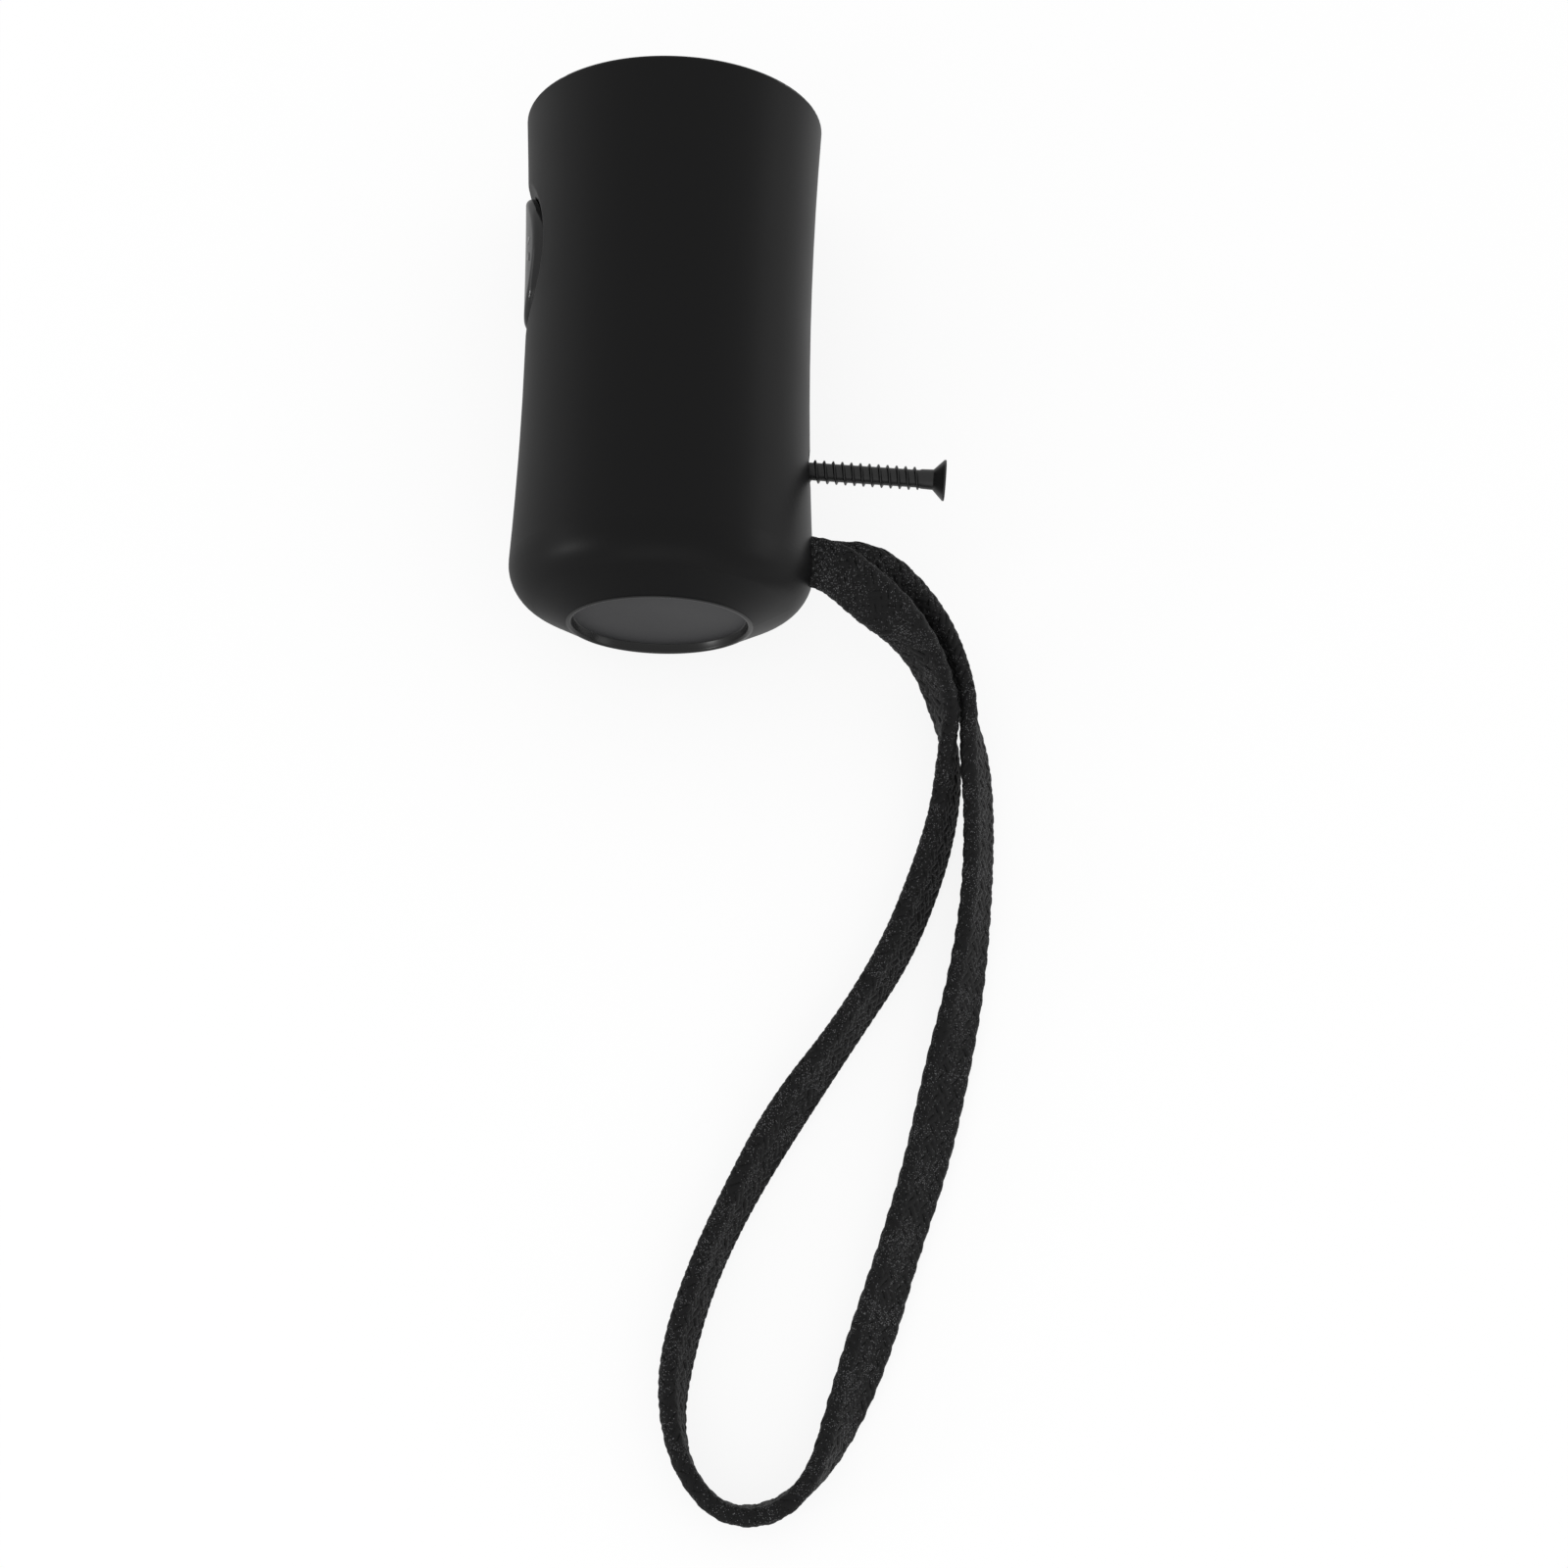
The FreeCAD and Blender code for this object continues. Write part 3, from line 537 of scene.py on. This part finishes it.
nothing_selected()
bpy.ops.mesh.primitive_circle_add(
    vertices=10,
    radius=SPRING_WIRE,
    location=(SPRING_RADIUS, 0, 0),
    rotation=(math.radians(90), 0, 0),
)
spring = bpy.context.object
spring.name = "spring_coil"
apply_place(spring)
free_height = SPRING_SEAT_X - SPRING_TOP_X - 2 * SPRING_WIRE
apply_modifier(
    spring,
    "SCREW",
    screw_offset=free_height / SPRING_TURNS,
    iterations=SPRING_TURNS,
    steps=28,
    render_steps=28,
    use_smooth_shade=True,
)
only_selected(spring)
bpy.ops.object.mode_set(mode="EDIT")
bpy.ops.mesh.select_all(action="DESELECT")
bpy.ops.mesh.select_non_manifold()
bpy.ops.mesh.edge_face_add()
bpy.ops.mesh.select_all(action="SELECT")
bpy.ops.mesh.normals_make_consistent(inside=False)
bpy.ops.object.mode_set(mode="OBJECT")
spring.matrix_world = Matrix.Translation((SPRING_SEAT_X - SPRING_WIRE, BUTTON_MIDDLE_Y, 0)) @ (
    Matrix.Rotation(math.radians(-90), 4, "Y")
)
apply_place(spring)
spring.data.materials.append(spring_steel)
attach(spring, "grip")
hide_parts("button_spring")
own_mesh(spring)

# %% [markdown]
# ## The screw
#
# The screw that fixes the shaft is a countersunk one with a coarse, sharp thread, as for plastic. Its
# core, with a slightly thicker neck under the head, is turned: a circle is extruded and widened step
# by step along the axis. The thread's section is a wedge with a narrow crest, carried round by the
# Screw modifier, and it sinks into the core at both ends. The driver's cross is cut into the head with
# a Boolean.
#
# It is modelled upright, with its length along Z, and laid into its sloping hole at the end.

# %% The screw's core and head
SCREW_TILT = math.radians(3)
SCREW_SURFACE = Vector((0.0217, 0.02445 - 0.073, 0))
SCREW_TOP, SCREW_LENGTH = 0.0199, 0.025
SCREW_TIP = SCREW_TOP - SCREW_LENGTH
ROOT, CREST, HEAD = 0.00132, 0.00173, 0.00305
HEAD_RIM = 0.00028
NECK_RADIUS = 0.00152
NECK = SCREW_TOP - HEAD_RIM - (HEAD - NECK_RADIUS)
# (radius, height) of the core from the tip up
SCREW_STEPS = [
    (0.00045, SCREW_TIP),
    (0.00070, SCREW_TIP + 0.00025),
    (ROOT, SCREW_TIP + 0.0011),
    (ROOT, NECK - 0.0021),
    (NECK_RADIUS - 0.00006, NECK - 0.0017),
    (NECK_RADIUS, NECK),
    (HEAD, SCREW_TOP - HEAD_RIM),
    (HEAD, SCREW_TOP - 0.00006),
    (HEAD - 0.00006, SCREW_TOP),
]

screw = turn_shape("screw_body", SCREW_STEPS, corners=40, filled=True)
print("screw core: %.1f mm long, head %.1f mm" % (SCREW_LENGTH * 1000, HEAD * 2000))

# %% The driver's cross
CROSS_LENGTH, CROSS_WIDTH, CROSS_DEPTH = 0.0034, 0.0008, 0.0013
CROSS_TAPER = 0.45
nothing_selected()
bars = []
for quarter in (0, 1):
    bpy.ops.mesh.primitive_cube_add(
        size=1, location=(0, 0, SCREW_TOP), rotation=(0, 0, quarter * math.pi / 2)
    )
    bar = bpy.context.object
    bar.scale = (CROSS_LENGTH, CROSS_WIDTH, CROSS_DEPTH * 2)
    apply_place(bar)
    bpy.ops.object.mode_set(mode="EDIT")
    bpy.ops.mesh.select_all(action="DESELECT")
    bpy.ops.object.mode_set(mode="OBJECT")
    for vertex in bar.data.vertices:
        vertex.select = vertex.co.z < SCREW_TOP
    bpy.ops.object.mode_set(mode="EDIT")
    bpy.ops.transform.resize(value=(CROSS_TAPER, CROSS_TAPER, 1), center_override=(0, 0, SCREW_TOP))
    bpy.ops.object.mode_set(mode="OBJECT")
    bars.append(bar)
for bar in bars:
    apply_modifier(screw, "BOOLEAN", operation="DIFFERENCE", solver="EXACT", object=bar)
    bpy.data.objects.remove(bar)
print("the head has its cross:", len(screw.data.polygons), "faces")

# %% The thread
PITCH = 0.00134
CREST_WIDTH, FOOT_WIDTH, FOOT_SUNK = 0.00014, 0.00066, 0.0002
FIRST_CREST = 0.00045
TURNS_INSIDE = 3
TURNS = TURNS_INSIDE + 12
THREAD_STEPS = 32
THREAD_LOW = FIRST_CREST - TURNS_INSIDE * PITCH
RUN_OUT = THREAD_STEPS // 2

nothing_selected()
bpy.ops.mesh.primitive_plane_add(size=1, location=(0, 0, 0), rotation=(math.radians(90), 0, 0))
thread = bpy.context.object
thread.name = "screw_thread"
thread.scale = (CREST - ROOT + FOOT_SUNK, FOOT_WIDTH, 1)
thread.location = ((CREST + ROOT - FOOT_SUNK) / 2, 0, THREAD_LOW)
apply_place(thread)
bpy.ops.object.mode_set(mode="EDIT")
bpy.ops.mesh.select_mode(type="VERT")
bpy.ops.mesh.select_all(action="DESELECT")
bpy.ops.object.mode_set(mode="OBJECT")
for vertex in thread.data.vertices:
    vertex.select = vertex.co.x > ROOT
bpy.ops.object.mode_set(mode="EDIT")
bpy.ops.transform.resize(
    value=(1, 1, CREST_WIDTH / FOOT_WIDTH), center_override=(0, 0, THREAD_LOW)
)
bpy.ops.mesh.select_all(action="SELECT")
bpy.ops.mesh.delete(type="ONLY_FACE")
bpy.ops.object.mode_set(mode="OBJECT")
apply_modifier(
    thread,
    "SCREW",
    screw_offset=PITCH,
    iterations=TURNS,
    steps=THREAD_STEPS,
    render_steps=THREAD_STEPS,
    use_smooth_shade=False,
)
print("thread: %d turns, %d faces" % (TURNS, len(thread.data.polygons)))

# %% [markdown]
# A rolled thread doesn't stop in a wall: over its last half turn it sinks into the core. Each of the
# last sections is picked by its height along the thread, and drawn in towards the axis a little more
# than the one before.


# %% The thread's ends
TOLERANCE = 0.00001
RUN_OUT_SUNK = 0.00025


def thread_section(step):
    """The vertices of one section, by the place that the Screw modifier gave it."""
    turned = 2 * math.pi * step / THREAD_STEPS
    height = THREAD_LOW + PITCH * step / THREAD_STEPS
    found = []
    for vertex in thread.data.vertices:
        ahead = vertex.co.x * math.cos(turned) + vertex.co.y * math.sin(turned)
        aside = vertex.co.y * math.cos(turned) - vertex.co.x * math.sin(turned)
        near = abs(vertex.co.z - height) < FOOT_WIDTH / 2 + TOLERANCE
        if near and ahead > 0 and abs(aside) < TOLERANCE:
            found.append(vertex.index)
    return found


SUNK = (ROOT - RUN_OUT_SUNK) / CREST
last_step = TURNS * THREAD_STEPS
for step in range(RUN_OUT):
    smaller = SUNK + (1 - SUNK) * step / RUN_OUT
    for section in (step, last_step - step):
        chosen = set(thread_section(section))
        for vertex in thread.data.vertices:
            vertex.select = vertex.index in chosen
        only_selected(thread)
        bpy.ops.object.mode_set(mode="EDIT")
        bpy.ops.transform.resize(value=(smaller, smaller, 1), center_override=(0, 0, 0))
        bpy.ops.object.mode_set(mode="OBJECT")
only_selected(thread)
bpy.ops.object.mode_set(mode="EDIT")
bpy.ops.mesh.select_all(action="DESELECT")
bpy.ops.mesh.select_non_manifold()
bpy.ops.mesh.edge_face_add()
bpy.ops.mesh.select_all(action="SELECT")
bpy.ops.mesh.normals_make_consistent(inside=False)
bpy.ops.object.mode_set(mode="OBJECT")
print("thread with closed ends:", len(thread.data.polygons), "faces")

# %% [markdown]
# Now the screw is laid into its hole. The columns of the matrix say where its own three directions
# point: its length goes along the hole, and its X points up the grip, where the first crest is.

# %% Lay the screw into its hole
slope, level = math.sin(SCREW_TILT), math.cos(SCREW_TILT)
lay = Matrix(((slope, 0, level), (level, 0, -slope), (0, 1, 0))).to_4x4()
for piece in (screw, thread):
    piece.matrix_world = Matrix.Translation(SCREW_SURFACE) @ lay
    apply_place(piece)
    bpy.ops.object.shade_smooth_by_angle(angle=math.radians(35))
    piece.data.materials.clear()
    piece.data.materials.append(screw_black)
    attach(piece, "screw")
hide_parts("shaft_screw")
print("the screw slopes by %.0f degrees" % math.degrees(SCREW_TILT))

# %% [markdown]
# ## The wrist strap
#
# The strap is a hollow braid pressed flat, about eight millimetres wide and under three thick. Both of
# its ends go into the grip, one on top of the other, so both runs leave it flat, turn onto their
# edges as they come down to the table, and stand there, leaning to one side, round the loop.
#
# A braid that long is best drawn from its centre line. One smooth curve carries it: the points below
# are pulled on like handles, and the curve passes close to them. Each point also has a lean: how many
# degrees the tape's width is turned from upright, towards the left of the way it runs. Where the tape
# stands on the table, its height follows from its lean.

# %% The strap's route
TAPE_WIDTH, TAPE_WIDTH_IN_SLOT, TAPE_THICKNESS = 0.0078, 0.0066, 0.0026
TABLE_CLEARANCE = 0.00005
STANDS = None
STRAP_ROUTE = [
    # x, y, z, lean
    (0.0070, -0.0629, 0.0015, 90),
    (0.0150, -0.0628, 0.0016, 90),
    (0.0243, -0.0631, 0.0016, 88),
    (0.0298, -0.0669, -0.0006, 84),
    (0.0356, -0.0701, -0.0060, 34),
    (0.0400, -0.0741, -0.0122, 20),
    (0.0426, -0.0798, -0.0166, 20),
    (0.0435, -0.0870, -0.0183, -17),
    (0.0428, -0.0955, STANDS, -22),
    (0.0403, -0.1050, STANDS, -29),
    (0.0357, -0.1170, STANDS, -29),
    (0.0283, -0.1290, STANDS, -21),
    (0.0197, -0.1413, STANDS, -40),
    (0.0130, -0.1536, STANDS, -26),
    (0.0077, -0.1656, STANDS, -23),
    (0.0047, -0.1766, STANDS, -25),
    (0.0042, -0.1850, STANDS, -10),
    (0.0062, -0.1926, STANDS, 0),
    (0.0116, -0.1984, STANDS, -2),
    (0.0191, -0.1982, STANDS, -9),
    (0.0250, -0.1928, STANDS, 4),
    (0.0287, -0.1846, STANDS, 36),
    (0.0324, -0.1740, STANDS, 57),
    (0.0363, -0.1613, STANDS, 44),
    (0.0404, -0.1482, STANDS, 52),
    (0.0432, -0.1350, STANDS, 58),
    (0.0461, -0.1216, STANDS, 38),
    (0.0477, -0.1080, STANDS, 25),
    (0.0480, -0.0955, STANDS, 26),
    (0.0472, -0.0865, -0.0182, 26),
    (0.0459, -0.0786, -0.0174, -6),
    (0.0420, -0.0711, -0.0144, -34),
    (0.0373, -0.0663, -0.0090, -58),
    (0.0312, -0.0622, -0.0040, -80),
    (0.0252, -0.0620, -0.0019, -88),
    (0.0150, -0.0630, -0.0016, -90),
    (0.0070, -0.0629, -0.0015, -90),
]
FIRST_FULL_WIDTH, LAST_FULL_WIDTH = 2, len(STRAP_ROUTE) - 4


def standing_height(lean):
    """How high the middle of the leaning tape is when its edge rests on the table."""
    straight = (TAPE_WIDTH - TAPE_THICKNESS) / 2 * abs(math.cos(math.radians(lean)))
    return LOWEST + TABLE_CLEARANCE + straight + TAPE_THICKNESS / 2


def smooth_line(name, points):
    """The points of a smooth curve that is pulled on by the given points."""
    curve = bpy.data.curves.new(name, "CURVE")
    curve.dimensions = "3D"
    spline = curve.splines.new("NURBS")
    spline.points.add(len(points) - 1)
    for handle, point in zip(spline.points, points):
        handle.co = (*point, 1)
    spline.order_u = 3
    spline.use_endpoint_u = True
    spline.resolution_u = 24
    holder = bpy.data.objects.new(name, curve)
    bpy.context.scene.collection.objects.link(holder)
    line = bpy.data.meshes.new_from_object(holder)
    found = np.array([vertex.co for vertex in line.vertices])
    bpy.data.objects.remove(holder)
    bpy.data.curves.remove(curve)
    bpy.data.meshes.remove(line)
    return found


route_line = smooth_line(
    "strap_route",
    [(x, y, standing_height(lean) if z is STANDS else z) for x, y, z, lean in STRAP_ROUTE],
)
# A second curve, with a handle for each of the first, carries the lean and the width as smoothly.
route_lean = smooth_line(
    "strap_lean",
    [
        (
            point[3] / 1000,
            TAPE_WIDTH if FIRST_FULL_WIDTH <= i <= LAST_FULL_WIDTH else TAPE_WIDTH_IN_SLOT,
            0,
        )
        for i, point in enumerate(STRAP_ROUTE)
    ],
)
along = np.concatenate([[0], np.cumsum(np.linalg.norm(np.diff(route_line, axis=0), axis=1))])
strap_length = along[-1]
print("strap: %d points on its line, %.1f mm long" % (len(route_line), strap_length * 1000))

# %% [markdown]
# The braid is two dozen strands that wind round a flattened tube, half of them one way and half the
# other, each passing over two and under two of the others. Nothing imitates that as well as the
# strands themselves, so each strand is drawn as a thin flat ribbon of its own along its winding path.
#
# First, the places: where the tape's middle is after a certain distance, which way its width points,
# and where on its flattened outline a strand is.


# %% Places on the strap
LOOK_AHEAD = 0.0005


def point_on_route(distance):
    return np.stack([np.interp(distance, along, route_line[:, i]) for i in range(3)], axis=1)


def places_on_strap(distance):
    """Centre, the directions of the tape's width and of its thickness, and its width."""
    centre = point_on_route(distance)
    lean = np.radians(np.interp(distance, along, route_lean[:, 0]) * 1000)
    width = np.interp(distance, along, route_lean[:, 1])
    travel = point_on_route(distance + LOOK_AHEAD) - point_on_route(distance - LOOK_AHEAD)
    travel /= np.linalg.norm(travel, axis=1, keepdims=True)
    left = np.cross([0.0, 0.0, 1.0], travel)
    left /= np.linalg.norm(left, axis=1, keepdims=True)
    upright = np.cross(travel, left)
    across = upright * np.cos(lean)[:, None] + left * np.sin(lean)[:, None]
    through = np.cross(travel, across)
    return centre, across, through, width


def tube_outline(turn, width, inset):
    """A place on the flattened tube's outline, inset from the tape's surface, and the way out there."""
    deep = TAPE_THICKNESS / 2 - inset
    flat = width - TAPE_THICKNESS
    bend = math.pi * deep
    total = 2 * (flat + bend)
    walk = (turn % 1.0) * total
    across, through = np.zeros_like(walk), np.zeros_like(walk)
    out_across, out_through = np.zeros_like(walk), np.zeros_like(walk)
    top = walk < flat
    right = (walk >= flat) & (walk < flat + bend)
    under = (walk >= flat + bend) & (walk < 2 * flat + bend)
    last = walk >= 2 * flat + bend
    across[top], through[top], out_through[top] = (walk - flat / 2)[top], deep, 1
    angle = (walk - flat) / deep
    across[right] = (flat / 2 + deep * np.sin(angle))[right]
    through[right] = (deep * np.cos(angle))[right]
    out_across[right], out_through[right] = np.sin(angle)[right], np.cos(angle)[right]
    across[under], through[under], out_through[under] = (1.5 * flat + bend - walk)[under], -deep, -1
    angle = (walk - 2 * flat - bend) / deep
    across[last] = (-flat / 2 - deep * np.sin(angle))[last]
    through[last] = (-deep * np.cos(angle))[last]
    out_across[last], out_through[last] = -np.sin(angle)[last], -np.cos(angle)[last]
    return across, through, out_across, out_through


# %% The strands' paths
STRANDS = 12
TURN_LENGTH = 0.0186
STRAND_WIDTH, STRAND_THICKNESS, STRAND_SWING = 0.00124, 0.00044, 0.00009
STRAND_LAYER = STRAND_THICKNESS / 2


def strand_points(number, way, distance):
    """Centre line of a strand, which winds one way and goes over two and under two of the others."""
    turn = number / STRANDS + way * distance / TURN_LENGTH
    centre, across, through, width = places_on_strap(distance)
    a, b, out_a, out_b = tube_outline(turn, width, STRAND_LAYER)
    crossing = STRANDS * 2 * distance / TURN_LENGTH + way * number
    swing = way * STRAND_SWING * np.cos(math.pi / 2 * (crossing + number) - math.pi / 4)
    place = centre + across * (a + out_a * swing)[:, None] + through * (b + out_b * swing)[:, None]
    out = across * out_a[:, None] + through * out_b[:, None]
    return place, out


def ribbon(points, out, width, thickness, sides=6):
    """Vertices of a flat ribbon with rounded edges along points, in rings."""
    way = np.gradient(points, axis=0)
    way /= np.linalg.norm(way, axis=1, keepdims=True)
    side = np.cross(way, out)
    side /= np.linalg.norm(side, axis=1, keepdims=True)
    lift = np.cross(side, way)
    angles = 2 * math.pi * np.arange(sides) / sides
    rings = [
        points + side * (width / 2 * math.cos(t)) + lift * (thickness / 2 * math.sin(t)) for t in angles
    ]
    return np.stack(rings, axis=1)


# %% [markdown]
# One mesh holds all the strands that wind the same way. Each ribbon also gets a map, in which one
# direction goes round the ribbon and the other along it, because the yarns of the finish follow it.


# %% A mesh of many ribbons
def mesh_of_tubes(name, tubes, material):
    """One object of several tubes, each an array of rings, with closed ends and a map along each."""
    vertices, faces, corners = [], [], []
    first = 0
    for tube in tubes:
        rings, sides = tube.shape[:2]
        vertices.append(tube.reshape(-1, 3))
        ring, side = np.meshgrid(np.arange(rings - 1), np.arange(sides), indexing="ij")
        after = (side + 1) % sides
        here, there = ring * sides, (ring + 1) * sides
        loops = [here + side, there + side, there + after, here + after]
        quads = np.stack(loops, axis=-1).reshape(-1, 4)
        length = np.concatenate([[0], np.cumsum(np.linalg.norm(np.diff(tube[:, 0], axis=0), axis=1))])
        share = np.stack([side, side, side + 1, side + 1], axis=-1).reshape(-1, 4) / sides
        reach = np.stack([length[ring], length[ring + 1], length[ring + 1], length[ring]], axis=-1)
        corners.append(np.stack([share, reach.reshape(-1, 4)], axis=-1).reshape(-1, 2))
        faces.append(quads + first)
        first += rings * sides
    mesh = bpy.data.meshes.new(name)
    every = np.concatenate(faces)
    mesh.from_pydata(np.concatenate(vertices).tolist(), [], every.tolist())
    layer = mesh.uv_layers.new(name="along")
    layer.data.foreach_set("uv", np.concatenate(corners).astype(np.float32).ravel())
    mesh.polygons.foreach_set("use_smooth", [True] * len(every))
    mesh.materials.append(material)
    piece = bpy.data.objects.new(name, mesh)
    bpy.context.scene.collection.objects.link(piece)
    return piece


# %% [markdown]
# ## The braid's finish
#
# Each strand is itself three yarns side by side, and each yarn is a bundle of fine bright filaments
# with a slight twist. That is too fine to model, so it is a pattern on the strand's own map: three
# rounded ridges across, and slanting lines for the twist. Here and there a filament would catch the
# light, and that glint is painted into the colour as a pale speck, a painted highlight. The specks are
# denser in some stretches than in others.

# %% The finish of the braid
GRAIN_SCALE, GRAIN_SIZE = 3.2, 0.36
TWISTS_PER_YARN, TWIST_RELIEF = 2.0, 0.12
yarn_bundle, taken, given = new_group(
    "yarn_bundle",
    {"Map": "Vector", "Yarns": "Float", "Twist length": "Float", "Sparkle share": "Float"},
    {"Height": "Float", "Sparkle": "Float"},
)
parts = yarn_bundle.nodes.new("ShaderNodeSeparateXYZ")
feed(yarn_bundle, parts.inputs[0], taken["Map"])
around = calculate(yarn_bundle, "MULTIPLY", parts.outputs[0], taken["Yarns"])
half_waves = calculate(yarn_bundle, "MULTIPLY", around, math.pi)
ridge = calculate(yarn_bundle, "ABSOLUTE", calculate(yarn_bundle, "SINE", half_waves))
twist = calculate(yarn_bundle, "DIVIDE", parts.outputs[1], taken["Twist length"])
winding = calculate(yarn_bundle, "MULTIPLY", around, TWISTS_PER_YARN)
slant = calculate(yarn_bundle, "ADD", winding, twist)
filaments = calculate(yarn_bundle, "SINE", calculate(yarn_bundle, "MULTIPLY", slant, 2 * math.pi))
relief = calculate(yarn_bundle, "MULTIPLY_ADD", filaments, TWIST_RELIEF, ridge)
feed(yarn_bundle, given["Height"], relief)
spread_map = yarn_bundle.nodes.new("ShaderNodeCombineXYZ")
feed(yarn_bundle, spread_map.inputs[0], around)
feed(yarn_bundle, spread_map.inputs[1], twist)
# The sparkle mask places painted highlights: pale specks where a filament would catch the light.
grains = yarn_bundle.nodes.new("ShaderNodeTexVoronoi")
grains.inputs["Scale"].default_value = GRAIN_SCALE
feed(yarn_bundle, grains.inputs["Vector"], spread_map.outputs[0])
lot = yarn_bundle.nodes.new("ShaderNodeSeparateColor")
feed(yarn_bundle, lot.inputs[0], grains.outputs["Color"])
bright = calculate(yarn_bundle, "LESS_THAN", lot.outputs[0], taken["Sparkle share"])
small = calculate(yarn_bundle, "LESS_THAN", grains.outputs["Distance"], GRAIN_SIZE)
feed(yarn_bundle, given["Sparkle"], calculate(yarn_bundle, "MULTIPLY", bright, small))

BRAID_COLOUR = (0.0038, 0.0038, 0.0040)
PATCHES_PER_METRE = 260.0
TWIST_LENGTH, YARN_DEPTH = 0.00055, 0.000028
SPARKLE_LEAST, SPARKLE_SPREAD = -0.50, 1.4
BRAID_GLINT_COLOUR = (0.150, 0.150, 0.155, 1)
braid_black = plain_material("braid_black", BRAID_COLOUR, 0.62, 0.2)
braid_tree = braid_black.node_tree
braid_shader = braid_tree.nodes["Principled BSDF"]
braid_shader.inputs["Sheen Weight"].default_value = 0.03
braid_shader.inputs["Sheen Roughness"].default_value = 0.45
strand_map = braid_tree.nodes.new("ShaderNodeUVMap")
strand_map.uv_map = "along"
patches = noise(braid_tree, own_place(braid_tree), PATCHES_PER_METRE)
yarns = use_group(
    braid_tree,
    yarn_bundle,
    Map=strand_map.outputs[0],
    Yarns=6.0,
    Twist_length=TWIST_LENGTH,
    Sparkle_share=calculate(braid_tree, "MULTIPLY_ADD", patches, SPARKLE_SPREAD, SPARKLE_LEAST),
)
set_bump(braid_tree, yarns["Height"], YARN_DEPTH)
# The pale specks are painted glints, put into the braid's colour.
add_specks(braid_tree, BRAID_COLOUR, BRAID_GLINT_COLOUR, yarns["Sparkle"])
print("finish made:", braid_black.name)

# %% The braid
STRAND_STEP = 0.00034
strand_steps = np.arange(0, strap_length, STRAND_STEP)
for way, name in ((1, "strap_strands_right"), (-1, "strap_strands_left")):
    tubes = []
    for number in range(STRANDS):
        place, out = strand_points(number, way, strand_steps)
        tubes.append(ribbon(place, out, STRAND_WIDTH, STRAND_THICKNESS))
    strands = mesh_of_tubes(name, tubes, braid_black)
    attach(strands, "grip")
    print(name, len(strands.data.polygons) * 2, "triangles")

# %% [markdown]
# A plain dark tube fills the braid, so that no light shows between the strands.

# %% The strap's core
CORE_STEP, CORE_SIDES = 0.001, 24
core_steps = np.arange(0, strap_length, CORE_STEP)
centre, across, through, width = places_on_strap(core_steps)
core_rings = []
for share in np.arange(CORE_SIDES) / CORE_SIDES:
    a, b, _, _ = tube_outline(np.full_like(core_steps, share), width, STRAND_THICKNESS)
    core_rings.append(centre + across * a[:, None] + through * b[:, None])
strap_core = mesh_of_tubes("strap_core", [np.stack(core_rings, axis=1)], braid_black)
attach(strap_core, "grip")
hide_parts("wrist_strap")
print("strap core:", len(strap_core.data.polygons), "faces")
